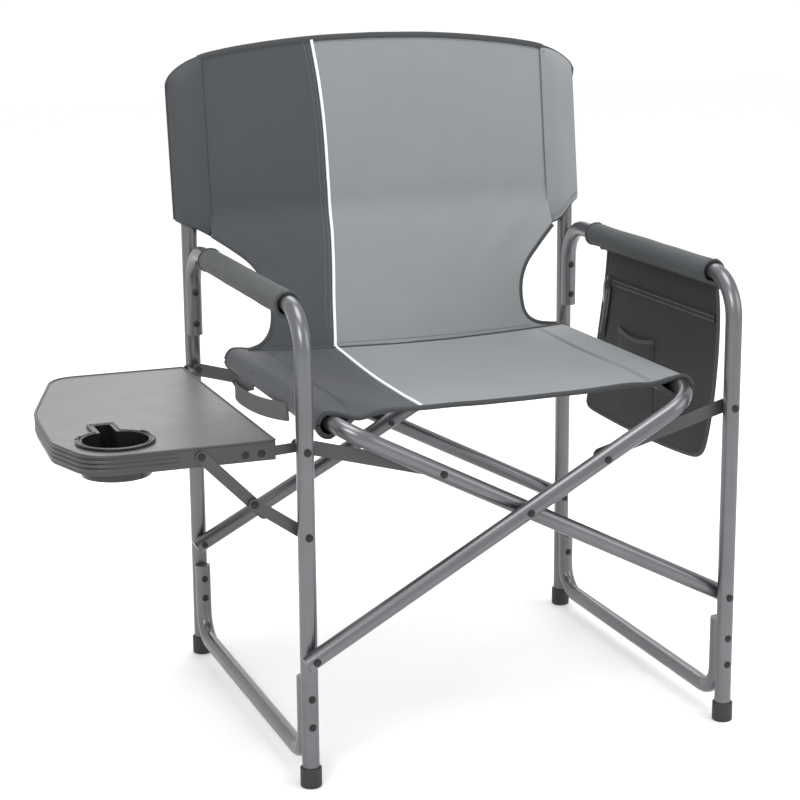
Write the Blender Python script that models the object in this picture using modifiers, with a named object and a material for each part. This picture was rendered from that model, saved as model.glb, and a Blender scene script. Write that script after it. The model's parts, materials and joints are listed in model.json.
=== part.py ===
"""Folding camp chair with a drop-down side table and a hanging side pocket.

Metres, +Z up, the chair's front faces -Y, the table is on the -X side.
Inside the script the pieces are placed from the point on the floor midway between the four legs.
At the end the whole chair moves so that the middle of its outline on the floor is the origin.
"""

import math

import bmesh
import bpy
from mathutils import Matrix, Vector

# Frame tubes
TUBE_R = 0.011
LEG_TRACK = 0.584  # left leg axis to right leg axis
LEG_DEPTH = 0.514  # front leg axis to rear upright axis
ARM_Z = 0.605
ARM_FRONT_BEND = 0.055
ARM_REAR_BEND = 0.050
ARM_DROP_Z = 0.483  # lower end of the arm tube, on the rear upright
ARM_DROP_OFFSET = 0.016  # between the drop's axis and the upright's axis
UPRIGHT_BEND_Z = 0.640
UPRIGHT_BEND = 0.250
UPRIGHT_TOP = 0.838
UPRIGHT_LEAN = 0.026  # how far the top stands behind the legs
STRETCHER_Z = 0.032
STRETCHER_BELOW_PIVOT = 0.035  # from the lower pivots down to the top of the stretcher
STRETCHER_BEND = 0.038
STRETCHER_OFFSET = 0.017
FIT_GAP = 0.0003  # between pieces that touch
TUBE_SIDES_RESOLUTION = 6

# Feet
FOOT_R = 0.0136
FOOT_HEIGHT = 0.026
FOOT_SOLE = 0.004

# Seat frames: two U-shaped tubes that cross like an X
LOWER_PIVOT_Z = 0.175
CROSS_Z = 0.327
RAIL_X = LEG_TRACK / 2 - 0.047
RAIL_BEND = 0.050
TUBE_TAIL = 0.012  # tube beyond its lower pivot
OUTER_BAR_LEG_GAP = 2.091 * TUBE_R  # bar axis to leg axis where the bar passes outside the leg
OUTER_BAR_AT_CROSS = 0.006244  # how far outside the leg axis it is where the bars cross
INNER_BAR_LEG_GAP = 2.073 * TUBE_R
BAR_CROSS_GAP = 0.000625  # between the crossing bars
LINK_ON_BAR = 0.1239  # from the crossing, up the bar
LINK_PIVOT_Z = 0.434
LINK_WIDTH = 0.018
LINK_THICK = 0.0025
LINK_CLEAR_RUN = 0.077 * LEG_TRACK  # from its pin up the bar, where a link still lies over the bar
LINK_BAR_GAP = 0.00035  # between that part of the bar and the link
LINK_DROP_GAP = 0.0008  # the other links pass inside the arm tube's lower end, this far from it
LINK_BOSS_GAP = 0.0025  # between a link's boss and the bar

# Rivets
PIN_R = 0.003
PIN_HOLE_R = 0.0036
HEAD_R = 0.0052
HEAD_HEIGHT = 0.0020
COLLAR_R = 0.0060

# Side table
TABLE_TOP_Z = 0.446
TABLE_INNER_X = -LEG_TRACK / 2 - 0.031
TABLE_OUTER_X = -LEG_TRACK / 2 - 0.286
TABLE_FRONT_Y = -LEG_DEPTH / 2 + TUBE_R + 0.0076
TABLE_REAR_Y = LEG_DEPTH / 2 - TUBE_R - 0.048
TABLE_BULGE_Y = TABLE_FRONT_Y + 0.0884  # where the table reaches furthest out
TABLE_REAR_SLANT = 0.070  # how far the outer rear corner is cut back
TABLE_MIDDLE_SLANT = 0.008
TABLE_FRONT_SLANT = 0.028
TABLE_BENDS = [0.045, 0.20, 0.060, 0.045]
RIM_HEIGHT = 0.024
RIM_WALL = 0.002
BOARD_THICK = 0.005
ARM_BAR_HEIGHT = 0.012
ARM_BAR_THICK = 0.0025
ARM_BAR_OUTER_X = TABLE_INNER_X - 0.055
ARM_BAR_DROP = 0.005  # how far the arm's outer end sits below its pivot
ARM_WEB_X = 0.0125  # rear arm: from the pivot out to the web that runs back to the upright
ARM_RIVETS_X = (TABLE_INNER_X - 0.038, TABLE_INNER_X - 0.018)

# Folding braces under the table
BRACE_LEG_Z = 0.327
BRACE_TABLE_X = -LEG_TRACK / 2 - 0.124
BRACE_TABLE_Z = 0.4345
BRACE_LOWER_LEN = 0.0741
BRACE_MISS = 0.0166  # how far below the leg pivot the table pivot hangs when folded
BRACE_WIDTH = 0.015
BRACE_THICK = 0.002
BRACE_HEAD = 0.0013
BRACE_TAIL = 0.018

# Cup holder
CUP_X = TABLE_OUTER_X + 0.074
CUP_Y = TABLE_FRONT_Y + 0.0664
CUP_R = 0.0430
CUP_FLANGE = 0.005
CUP_FLANGE_THICK = 0.0025
CUP_WALL = 0.002
CUP_DEPTH = 0.042
CUP_SLOT_HALF = 0.0125
CUP_SLOT_END = 0.080

# Fabric
CLOTH = 0.003
ARM_SLEEVE_R = TUBE_R + 0.0065
ARM_SLEEVE_FRONT = -0.200
ARM_SLEEVE_REAR = 0.150
SEAT_SLEEVE_R = TUBE_R + 0.0040
SEAT_SLEEVE_REAR = 0.165
SEAT_Z = 0.461
SEAT_SAG = 0.009
BACK_SLEEVE_R = TUBE_R + 0.0060
BACK_SLEEVE_OUT = 0.003  # sleeve axis outside the tube's axis
BACK_SLEEVE_Z = 0.648
BACK_CORNER_Z = 0.846
BACK_CROWN_Z = 0.893
BACK_CREASE_Z = 0.468
BACK_CREASE_Y = 0.174
BACK_WAIST_Z = 0.520
BACK_WAIST_X = LEG_TRACK / 2 - 0.101
POCKET_INNER_X = LEG_TRACK / 2 + 0.0055
POCKET_THICK = 0.014
POCKET_TOP = 0.588
POCKET_BOTTOM = 0.332
POCKET_FRONT_TOP = -0.195
POCKET_FRONT_BOTTOM = -0.160
POCKET_REAR_TOP = 0.132
POCKET_REAR_BOTTOM = 0.200
POCKET_ROOM = 0.009
POCKET_HEM = 0.008
POCKET_MOUTH_INSET = 0.030
ZIP_TOP = 0.540
ZIP_SLIDER_H = 0.014
ZIP_SLIDER_WIDTH = 0.006
ZIP_SLIDER_THICK = 0.003
ZIP_SLIDER_INSET = 0.014
STRAP_THICK = 0.002
STRAP_WIDTH = 0.024
STRAP_FRONT = -0.105
STRAP_REAR = 0.125
STRAP_DROP = 0.022
STRAP_ABOVE_RAIL = 0.006

# Derived places
SIDE_X = LEG_TRACK / 2
LEG_Y = LEG_DEPTH / 2
BAR_ANGLE = math.atan2(CROSS_Z - LOWER_PIVOT_Z, SIDE_X)
BAR_TO_CROSS = math.hypot(SIDE_X, CROSS_Z - LOWER_PIVOT_Z)
OUTER_BAR_TAPER = (OUTER_BAR_LEG_GAP - OUTER_BAR_AT_CROSS) / BAR_TO_CROSS
INNER_BAR_AT_CROSS = 2 * TUBE_R + BAR_CROSS_GAP - OUTER_BAR_AT_CROSS
INNER_BAR_TAPER = (INNER_BAR_AT_CROSS - INNER_BAR_LEG_GAP) / BAR_TO_CROSS
BAR_TO_RAIL = (SIDE_X + RAIL_X) / math.cos(BAR_ANGLE)
BAR_TO_LINK = BAR_TO_CROSS + LINK_ON_BAR
STRETCHER_TOP = LOWER_PIVOT_Z - STRETCHER_BELOW_PIVOT
RAIL_Z = LOWER_PIVOT_Z + BAR_TO_RAIL * math.sin(BAR_ANGLE)
LINK_BAR_X = BAR_TO_LINK * math.cos(BAR_ANGLE) - SIDE_X
LINK_BAR_Z = LOWER_PIVOT_Z + BAR_TO_LINK * math.sin(BAR_ANGLE)
# leg axis to the face of a link: first the front link on an outer bar, then the others
NEAR_LINK_FACE = OUTER_BAR_TAPER * (BAR_TO_LINK + LINK_CLEAR_RUN) - OUTER_BAR_LEG_GAP + TUBE_R + LINK_BAR_GAP
FAR_LINK_FACE = max(
    ARM_DROP_OFFSET + TUBE_R + LINK_DROP_GAP,
    INNER_BAR_LEG_GAP + INNER_BAR_TAPER * BAR_TO_LINK + TUBE_R + LINK_BOSS_GAP,
)
SEAT_SLEEVE_FRONT = RAIL_BEND + INNER_BAR_LEG_GAP + INNER_BAR_TAPER * BAR_TO_RAIL - LEG_Y + FIT_GAP
SLEEVE_BORE_R = TUBE_R / math.cos(math.pi / 14) + 0.00002  # its 14 flat sides clear the tube
TABLE_PIVOT = Vector((-SIDE_X, 0, LINK_PIVOT_Z))
BRACE_LEG = Vector((-SIDE_X, 0, BRACE_LEG_Z))
BRACE_TABLE = Vector((BRACE_TABLE_X, 0, BRACE_TABLE_Z))
BRACE_UPPER_LEN = BRACE_LOWER_LEN + BRACE_MISS
ARM_RIVET_Z = LINK_PIVOT_Z - ARM_BAR_HEIGHT / 4


def clear_scene():
    for obj in list(bpy.data.objects):
        bpy.data.objects.remove(obj, do_unlink=True)


clear_scene()
PARTS = bpy.data.collections.new("folding_camp_chair")
bpy.context.scene.collection.children.link(PARTS)


def material(name, colour, roughness, metallic=0.0):
    made = bpy.data.materials.new(name)
    made.use_nodes = True
    shader = made.node_tree.nodes["Principled BSDF"]
    shader.inputs["Base Color"].default_value = (*colour, 1)
    shader.inputs["Roughness"].default_value = roughness
    shader.inputs["Metallic"].default_value = metallic
    return made


FRAME_PAINT = material("frame_paint", (0.16, 0.16, 0.165), 0.35, 0.7)
BRACKET_PAINT = material("bracket_paint", (0.09, 0.09, 0.095), 0.45, 0.6)
RIVET_BLACK = material("rivet_black", (0.02, 0.02, 0.02), 0.4, 0.5)
RUBBER = material("foot_rubber", (0.015, 0.015, 0.015), 0.7)
TABLE_GREY = material("table_grey", (0.36, 0.36, 0.37), 0.4)
RIM_METAL = material("table_rim", (0.14, 0.14, 0.145), 0.4, 0.6)
CUP_BLACK = material("cup_plastic", (0.01, 0.01, 0.01), 0.35)
CLOTH_DARK = material("cloth_charcoal", (0.075, 0.082, 0.09), 0.85)
CLOTH_LIGHT = material("cloth_grey", (0.28, 0.29, 0.3), 0.85)
WEBBING = material("strap_webbing", (0.07, 0.07, 0.075), 0.9)
ZIP_METAL = material("zip_metal", (0.05, 0.05, 0.05), 0.35, 0.8)


def empty(name, at, parent=None):
    """A joint's axis passes through this empty, along Y."""
    made = bpy.data.objects.new(name, None)
    made.empty_display_size = 0.03
    PARTS.objects.link(made)
    made["chair_place"] = tuple(at)
    made.parent = parent
    made.location = Vector(at) - chair_place(parent)
    return made


def chair_place(parent):
    return Vector(parent["chair_place"]) if parent else Vector((0, 0, 0))


def finish(obj, body, paint):
    """Puts a piece that was shaped at its place in the chair under its body's empty."""
    obj.data.materials.clear()
    obj.data.materials.append(paint)
    for collection in list(obj.users_collection):
        collection.objects.unlink(obj)
    PARTS.objects.link(obj)
    obj.parent = body
    obj.location = -chair_place(body)
    obj.data.shade_smooth()
    obj.data.set_sharp_from_angle(angle=math.radians(35))
    return obj


def mesh_object(name, shape):
    bmesh.ops.recalc_face_normals(shape, faces=shape.faces)
    data = bpy.data.meshes.new(name)
    shape.to_mesh(data)
    shape.free()
    made = bpy.data.objects.new(name, data)
    bpy.context.scene.collection.objects.link(made)
    return made


def curve_to_mesh(curve_object):
    """The solid of a curve, with its end caps welded on."""
    bpy.context.view_layer.update()
    graph = bpy.context.evaluated_depsgraph_get()
    data = bpy.data.meshes.new_from_object(curve_object.evaluated_get(graph))
    shape = bmesh.new()
    shape.from_mesh(data)
    bmesh.ops.remove_doubles(shape, verts=shape.verts, dist=0.00001)
    name = curve_object.name
    bpy.data.objects.remove(curve_object, do_unlink=True)
    bpy.data.meshes.remove(data)
    return mesh_object(name, shape)


def rounded_path(corners, bends, steps=8):
    """The corners joined by straight runs, each inner corner rounded to its bend radius."""
    points = [Vector(corners[0])]
    for before, corner, after, bend in zip(corners, corners[1:], corners[2:], bends):
        corner = Vector(corner)
        incoming = (corner - Vector(before)).normalized()
        outgoing = (Vector(after) - corner).normalized()
        turn = incoming.angle(outgoing)
        if turn < 1e-6 or bend == 0:
            points.append(corner)
            continue
        reach = bend * math.tan(turn / 2)
        centre = corner + (outgoing - incoming).normalized() * bend / math.cos(turn / 2)
        start = corner - incoming * reach - centre
        axis = incoming.cross(outgoing).normalized()
        for step in range(steps + 1):
            points.append(centre + Matrix.Rotation(turn * step / steps, 3, axis) @ start)
    points.append(Vector(corners[-1]))
    return points


def tube(name, points, radius, resolution=TUBE_SIDES_RESOLUTION):
    data = bpy.data.curves.new(name, "CURVE")
    data.dimensions = "3D"
    data.bevel_depth = radius
    data.bevel_resolution = resolution
    data.use_fill_caps = True
    spline = data.splines.new("POLY")
    spline.points.add(len(points) - 1)
    for spot, point in zip(spline.points, points):
        spot.co = (*point, 1)
    made = bpy.data.objects.new(name, data)
    bpy.context.scene.collection.objects.link(made)
    return curve_to_mesh(made)


def rod(name, start, end, radius, sides=20):
    """A straight cylinder between two points."""
    start, end = Vector(start), Vector(end)
    along = end - start
    shape = bmesh.new()
    bmesh.ops.create_cone(
        shape, cap_ends=True, segments=sides, radius1=radius, radius2=radius, depth=along.length
    )
    turn = along.to_track_quat("Z", "Y").to_matrix().to_4x4()
    bmesh.ops.transform(shape, matrix=Matrix.Translation((start + end) / 2) @ turn, verts=shape.verts)
    return mesh_object(name, shape)


def box(name, low, high):
    shape = bmesh.new()
    bmesh.ops.create_cube(shape, size=1)
    low, high = Vector(low), Vector(high)
    size = Matrix.Diagonal((*(high - low), 1))
    bmesh.ops.transform(shape, matrix=Matrix.Translation((low + high) / 2) @ size, verts=shape.verts)
    return mesh_object(name, shape)


def plate(name, outline, low, high, plane):
    """A flat outline given thickness. Plane "xy" stands it on z low to high, "xz" on y low to high."""
    shape = bmesh.new()
    if plane == "xy":
        corners = [shape.verts.new((a, b, low)) for a, b in outline]
        push = Vector((0, 0, high - low))
    elif plane == "xz":
        corners = [shape.verts.new((a, low, b)) for a, b in outline]
        push = Vector((0, high - low, 0))
    else:
        corners = [shape.verts.new((low, a, b)) for a, b in outline]
        push = Vector((high - low, 0, 0))
    face = shape.faces.new(corners)
    grown = bmesh.ops.extrude_face_region(shape, geom=[face])["geom"]
    bmesh.ops.translate(shape, vec=push, verts=[v for v in grown if isinstance(v, bmesh.types.BMVert)])
    return mesh_object(name, shape)


def rounded_outline(corners, bends, steps=5):
    """A closed flat outline with each corner rounded."""
    closed = []
    count = len(corners)
    for index in range(count):
        trio = [corners[(index + shift) % count] for shift in (-1, 0, 1)]
        trio = [(a, b, 0) for a, b in trio]
        closed += [(p.x, p.y) for p in rounded_path(trio, [bends[index]], steps)[1:-1]]
    return closed


def boolean(obj, other, operation):
    """Joins or cuts at once, and keeps the result as the object's own mesh."""
    change = obj.modifiers.new(operation.lower(), "BOOLEAN")
    change.operation = operation
    change.solver = "EXACT"
    change.object = other
    bpy.context.view_layer.update()
    graph = bpy.context.evaluated_depsgraph_get()
    data = bpy.data.meshes.new_from_object(obj.evaluated_get(graph))
    obj.modifiers.remove(change)
    old = obj.data
    obj.data = data
    bpy.data.meshes.remove(old)
    bpy.data.objects.remove(other, do_unlink=True)
    return obj


def cut(obj, cutter):
    return boolean(obj, cutter, "DIFFERENCE")


def join(obj, other):
    return boolean(obj, other, "UNION")


def bore(obj, x, y, z, reach, radius=PIN_HOLE_R):
    """A round hole along Y, reach to each side of y."""
    return cut(obj, rod("bore", (x, y - reach, z), (x, y + reach, z), radius, 16))


def turned(name, profile, at, steps=10):
    """A profile of (radius, y) turned about a line along Y, from its first point to its last."""
    shape = bmesh.new()
    line = [shape.verts.new((radius, y, 0)) for radius, y in profile]
    edges = [shape.edges.new(pair) for pair in zip(line, line[1:])]
    bmesh.ops.spin(
        shape, geom=line + edges, cent=(0, 0, 0), axis=(0, 1, 0), angle=math.tau, steps=steps
    )
    bmesh.ops.remove_doubles(shape, verts=shape.verts, dist=0.00002)
    bmesh.ops.translate(shape, vec=at, verts=shape.verts)
    return mesh_object(name, shape)


def rivet(name, x, z, y_head, y_tail, body, collars=(), tail_head=HEAD_HEIGHT):
    """A domed rivet along Y. Collars are (start, end) stretches where the shank is thicker."""
    way = 1 if y_tail > y_head else -1
    profile = [
        (0, y_head - way * HEAD_HEIGHT),
        (HEAD_R * 0.62, y_head - way * HEAD_HEIGHT * 0.8),
        (HEAD_R, y_head - way * HEAD_HEIGHT * 0.25),
        (HEAD_R, y_head),
        (PIN_R, y_head),
    ]
    for start, end in collars:
        profile += [(PIN_R, start), (COLLAR_R, start), (COLLAR_R, end), (PIN_R, end)]
    profile.append((PIN_R, y_tail))
    if tail_head:
        profile += [(HEAD_R * 0.85, y_tail), (HEAD_R * 0.85, y_tail + way * tail_head)]
        profile.append((0, y_tail + way * tail_head))
    else:
        profile.append((0, y_tail))
    return finish(turned(name, profile, (x, 0, z)), body, RIVET_BLACK)


# The bodies: each empty stands on the axis about which its body turns
CHAIR = empty("folding_camp_chair_root", (0, 0, 0))
LEFT = empty("left_frame", (0, 0, 0), CHAIR)
FRAME_A = empty("seat_frame_a_axis", (-SIDE_X, 0, LOWER_PIVOT_Z), LEFT)
FRAME_B = empty("seat_frame_b_axis", (0, 0, CROSS_Z), FRAME_A)
RIGHT = empty("right_frame_axis", (SIDE_X, 0, LOWER_PIVOT_Z), FRAME_B)
LEFT_LINKS = empty("left_links_axis", (-SIDE_X, 0, LINK_PIVOT_Z), LEFT)
RIGHT_LINKS = empty("right_links_axis", (SIDE_X, 0, LINK_PIVOT_Z), RIGHT)
TABLE = empty("side_table_axis", TABLE_PIVOT, LEFT)
BRACE_UPPER = empty("brace_upper_axis", BRACE_TABLE, TABLE)
BRACE_LOWER = empty("brace_lower_axis", BRACE_LEG, LEFT)
ZIP = empty("zip_slider_axis", (POCKET_INNER_X + POCKET_THICK, 0, ZIP_TOP), RIGHT)


def upright_y(z):
    """The rear upright's axis leans back above its bend."""
    if z <= UPRIGHT_BEND_Z:
        return LEG_Y
    return LEG_Y + UPRIGHT_LEAN * (z - UPRIGHT_BEND_Z) / (UPRIGHT_TOP - UPRIGHT_BEND_Z)


def bar_y(outer, along, side):
    """Y of a seat frame's bar axis, along metres up from its lower pivot. Side -1 is the front."""
    if outer:
        return side * (LEG_Y + OUTER_BAR_LEG_GAP - OUTER_BAR_TAPER * along)
    return side * (LEG_Y - INNER_BAR_LEG_GAP - INNER_BAR_TAPER * along)


def bar_outer(frame, side):
    """Frame a's front bar and frame b's rear bar pass outside the legs."""
    return (frame == "a") == (side < 0)


def side_frame(label, x, body):
    """One side's three tubes, with the pivot holes, and its feet."""
    foot_z = FOOT_SOLE + FIT_GAP
    drop_y = LEG_Y - ARM_DROP_OFFSET
    arm_corners = [(x, -LEG_Y, foot_z), (x, -LEG_Y, ARM_Z), (x, drop_y, ARM_Z), (x, drop_y, ARM_DROP_Z)]
    arm = tube(f"{label}_arm_and_leg", rounded_path(arm_corners, [ARM_FRONT_BEND, ARM_REAR_BEND]), TUBE_R)
    clear_r = TUBE_R + FIT_GAP
    cut(arm, rod("upright_room", (x, LEG_Y, 0), (x, LEG_Y, UPRIGHT_BEND_Z), clear_r, 32))

    up_corners = [(x, LEG_Y, foot_z), (x, LEG_Y, UPRIGHT_BEND_Z), (x, LEG_Y + UPRIGHT_LEAN, UPRIGHT_TOP)]
    upright = tube(f"{label}_rear_upright", rounded_path(up_corners, [UPRIGHT_BEND], 3), TUBE_R)

    end_y = LEG_Y - STRETCHER_OFFSET
    low_corners = [
        (x, -end_y, STRETCHER_TOP),
        (x, -end_y, STRETCHER_Z),
        (x, end_y, STRETCHER_Z),
        (x, end_y, STRETCHER_TOP),
    ]
    stretcher = tube(f"{label}_stretcher", rounded_path(low_corners, [STRETCHER_BEND] * 2, 6), TUBE_R)
    for leg_y in (-LEG_Y, LEG_Y):
        cut(stretcher, rod("leg_room", (x, leg_y, 0), (x, leg_y, ARM_Z), clear_r, 32))

    for leg, leg_y in ((arm, -LEG_Y), (upright, LEG_Y)):
        holes = [LOWER_PIVOT_Z, LINK_PIVOT_Z]
        if x < 0:
            holes.append(BRACE_LEG_Z)
        for hole_z in holes:
            bore(leg, x, leg_y, hole_z, 2 * TUBE_R)
    for piece in (arm, upright, stretcher):
        finish(piece, body, FRAME_PAINT)
    for place, leg_y in (("front", -LEG_Y), ("rear", LEG_Y)):
        foot_cap(f"{label}_{place}_foot", x, leg_y, body)


def foot_cap(name, x, y, body):
    """A rubber cup on the end of a leg."""
    inner = TUBE_R + FIT_GAP
    cap = rod(name, (x, y, 0), (x, y, FOOT_HEIGHT), FOOT_R)
    soften = cap.modifiers.new("soft_edge", "BEVEL")
    soften.width = 0.0012
    soften.segments = 1
    soften.limit_method = "ANGLE"
    bpy.context.view_layer.update()
    graph = bpy.context.evaluated_depsgraph_get()
    softened = bpy.data.meshes.new_from_object(cap.evaluated_get(graph))
    cap.modifiers.clear()
    cap.data = softened
    cut(cap, rod("leg_end", (x, y, FOOT_SOLE), (x, y, 2 * FOOT_HEIGHT), inner, 20))
    finish(cap, body, RUBBER)


def seat_frame(letter, body):
    """A U-shaped tube: front bar, seat rail, rear bar. Frame a rises to the right, b to the left."""
    hand = 1 if letter == "a" else -1
    rise = Vector((hand * math.cos(BAR_ANGLE), 0, math.sin(BAR_ANGLE)))
    foot = Vector((-hand * SIDE_X, 0, LOWER_PIVOT_Z))

    def spot(along, side):
        place = foot + rise * along
        place.y = bar_y(bar_outer(letter, side), along, side)
        return place

    corners = [spot(-TUBE_TAIL, -1), spot(BAR_TO_RAIL, -1), spot(BAR_TO_RAIL, 1), spot(-TUBE_TAIL, 1)]
    piece = tube(f"seat_frame_{letter}", rounded_path(corners, [RAIL_BEND] * 2), TUBE_R)
    for side in (-1, 1):
        for along in (0, BAR_TO_CROSS, BAR_TO_LINK):
            at = spot(along, side)
            bore(piece, at.x, at.y, at.z, 2 * TUBE_R)
    return finish(piece, body, FRAME_PAINT)


def lower_and_cross_rivets():
    """The rivets through leg and bar at the four lower ends, and through both bars where they cross."""
    for label, x, frame, body in (("left", -SIDE_X, "a", LEFT), ("right", SIDE_X, "b", RIGHT)):
        for place, side in (("front", -1), ("rear", 1)):
            outer = bar_outer(frame, side)
            far_bar = bar_y(outer, 0, side)
            leg = side * LEG_Y
            if outer:
                head, tail = far_bar + side * TUBE_R, leg - side * TUBE_R
                washer = (leg + side * (TUBE_R + FIT_GAP), far_bar - side * (TUBE_R + FIT_GAP))
            else:
                head, tail = leg + side * TUBE_R, far_bar - side * TUBE_R
                washer = (far_bar + side * (TUBE_R + FIT_GAP), leg - side * (TUBE_R + FIT_GAP))
            head += side * FIT_GAP
            tail -= side * FIT_GAP
            rivet(
                f"{label}_{place}_lower_rivet", x, LOWER_PIVOT_Z, head, tail, body,
                collars=[tuple(sorted(washer, reverse=side > 0))],
            )
    for place, side in (("front", -1), ("rear", 1)):
        outside = bar_y(True, BAR_TO_CROSS, side) + side * (TUBE_R + FIT_GAP)
        inside = bar_y(False, BAR_TO_CROSS, side) - side * (TUBE_R + FIT_GAP)
        rivet(f"{place}_cross_rivet", 0, CROSS_Z, outside, inside, FRAME_A)


def eye_bar(name, start, end, width, y_low, y_high, holes, tail=0.0):
    """A flat bar with round ends, in the plane of the fold. Tail lengthens it past its end."""
    start, end = Vector(start), Vector(end)
    along = (end - start).normalized()
    end = end + along * tail
    across = Vector((-along.z, 0, along.x)) * width / 2
    outline = []
    for centre, first in ((end, -across), (start, across)):
        for step in range(9):
            turn = Matrix.Rotation(-math.pi * step / 8, 3, "Y")
            spot = centre + turn @ first
            outline.append((spot.x, spot.z))
    piece = plate(name, outline, y_low, y_high, "xz")
    for hole in holes:
        bore(piece, hole[0], (y_low + y_high) / 2, hole[2], 2 * (y_high - y_low))
    return piece


def links():
    """Flat links between each leg and the frame that rises towards it, and their rivets."""
    for label, hand, frame, body, leg_body in (
        ("left", -1, "b", LEFT_LINKS, LEFT),
        ("right", 1, "a", RIGHT_LINKS, RIGHT),
    ):
        leg_spot = (hand * SIDE_X, 0, LINK_PIVOT_Z)
        bar_spot = (hand * LINK_BAR_X, 0, LINK_BAR_Z)
        bar_body = FRAME_A if frame == "a" else FRAME_B
        for place, side in (("front", -1), ("rear", 1)):
            outer = bar_outer(frame, side)
            bar_axis = bar_y(outer, BAR_TO_LINK, side)
            bar_inside = bar_axis - side * TUBE_R
            face = side * (LEG_Y - (NEAR_LINK_FACE if outer and side < 0 else FAR_LINK_FACE))
            back = face - side * LINK_THICK
            low, high = sorted((face, back))
            piece = eye_bar(
                f"{label}_{place}_link", leg_spot, bar_spot, LINK_WIDTH, low, high, [leg_spot, bar_spot]
            )
            rivet_end = face
            if outer and side > 0:
                rivet_end = bar_inside - side * LINK_BOSS_GAP
                boss_ends = [(bar_spot[0], y, bar_spot[2]) for y in (face - side * FIT_GAP, rivet_end)]
                join(piece, rod("boss", *boss_ends, COLLAR_R, 16))
            finish(piece, body, BRACKET_PAINT)
            leg_rivet(label, place, side, hand, face, back, leg_body)
            rivet(
                f"{label}_{place}_bar_rivet",
                hand * LINK_BAR_X,
                LINK_BAR_Z,
                bar_axis + side * (TUBE_R + FIT_GAP),
                rivet_end + side * FIT_GAP,
                bar_body,
                tail_head=0,
            )


def leg_rivet(label, place, side, hand, face, back, body):
    """The rivet through a leg, its spacer, the link, and on the left the table's arm."""
    leg = side * LEG_Y
    head = leg + side * (TUBE_R + FIT_GAP)
    tail = back - side * FIT_GAP
    inside = leg - side * (TUBE_R + FIT_GAP)
    if hand > 0:
        collars = [(inside, face + side * FIT_GAP)]
    else:
        near, far = table_arm_faces(side)
        if abs(near) > abs(face):
            collars = [(inside, near + side * FIT_GAP), (far - side * FIT_GAP, face + side * FIT_GAP)]
        else:
            collars = [(inside, face + side * FIT_GAP)]
            tail = far - side * FIT_GAP
    collars = [pair for pair in collars if abs(pair[0] - pair[1]) > 2 * FIT_GAP]
    rivet(f"{label}_{place}_link_rivet", hand * SIDE_X, LINK_PIVOT_Z, head, tail, body, collars)


def table_arm_faces(side):
    """Y of the table arm's two faces where it meets the leg, the one nearer the leg first."""
    if side < 0:
        near = TABLE_FRONT_Y + RIM_WALL + FIT_GAP
    else:
        near = LEG_Y - NEAR_LINK_FACE - LINK_THICK - 2 * FIT_GAP
    return near, near - side * ARM_BAR_THICK


def table_outline(inset):
    """The table's outline, moved inward by inset, from its inner rear corner round to the inner front."""
    outer = TABLE_OUTER_X + inset
    front = TABLE_FRONT_Y + inset
    rear = TABLE_REAR_Y - inset
    corners = [
        (TABLE_INNER_X, rear),
        (TABLE_OUTER_X + TABLE_REAR_SLANT + 0.6 * inset, rear),
        (outer + TABLE_MIDDLE_SLANT, 0.0),
        (outer, TABLE_BULGE_Y),
        (outer + TABLE_FRONT_SLANT, front),
        (TABLE_INNER_X, front),
    ]
    flat = [(a, b, 0) for a, b in corners]
    return [(p.x, p.y) for p in rounded_path(flat, TABLE_BENDS, 5)]


def keyhole(grow):
    """The cup's outline with the slot for a mug's handle, running back from the cup."""
    radius = CUP_R + grow
    half = CUP_SLOT_HALF + grow
    end = CUP_Y + CUP_SLOT_END + grow
    gap = math.asin(half / radius)
    first = math.pi / 2 + gap
    sweep = math.tau - 2 * gap
    steps = 32
    outline = [(CUP_X + half, end), (CUP_X - half, end)]
    for step in range(steps + 1):
        angle = first + sweep * step / steps
        outline.append((CUP_X + radius * math.cos(angle), CUP_Y + radius * math.sin(angle)))
    return outline


def side_table():
    """Board, rim, two arms, cup holder."""
    under = TABLE_TOP_Z - BOARD_THICK
    board = plate("table_board", table_outline(RIM_WALL + FIT_GAP), under, TABLE_TOP_Z, "xy")
    cut(board, plate("cup_hole", keyhole(FIT_GAP), under - 0.01, TABLE_TOP_Z + 0.01, "xy"))
    finish(board, TABLE, TABLE_GREY)

    low = TABLE_TOP_Z - RIM_HEIGHT
    band = table_outline(0) + list(reversed(table_outline(RIM_WALL)))
    rim = plate("table_rim", band, low, TABLE_TOP_Z, "xy")
    for x in ARM_RIVETS_X:
        for y in (TABLE_FRONT_Y, TABLE_REAR_Y):
            bore(rim, x, y, ARM_RIVET_Z, 2 * RIM_WALL, PIN_R)
    for y in (TABLE_FRONT_Y, TABLE_REAR_Y):
        bore(rim, BRACE_TABLE.x, y, BRACE_TABLE.z, 2 * RIM_WALL)
    finish(rim, TABLE, RIM_METAL)
    for side, place in ((-1, "front"), (1, "rear")):
        table_arm(place, side)
    cup_holder(under)


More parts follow.
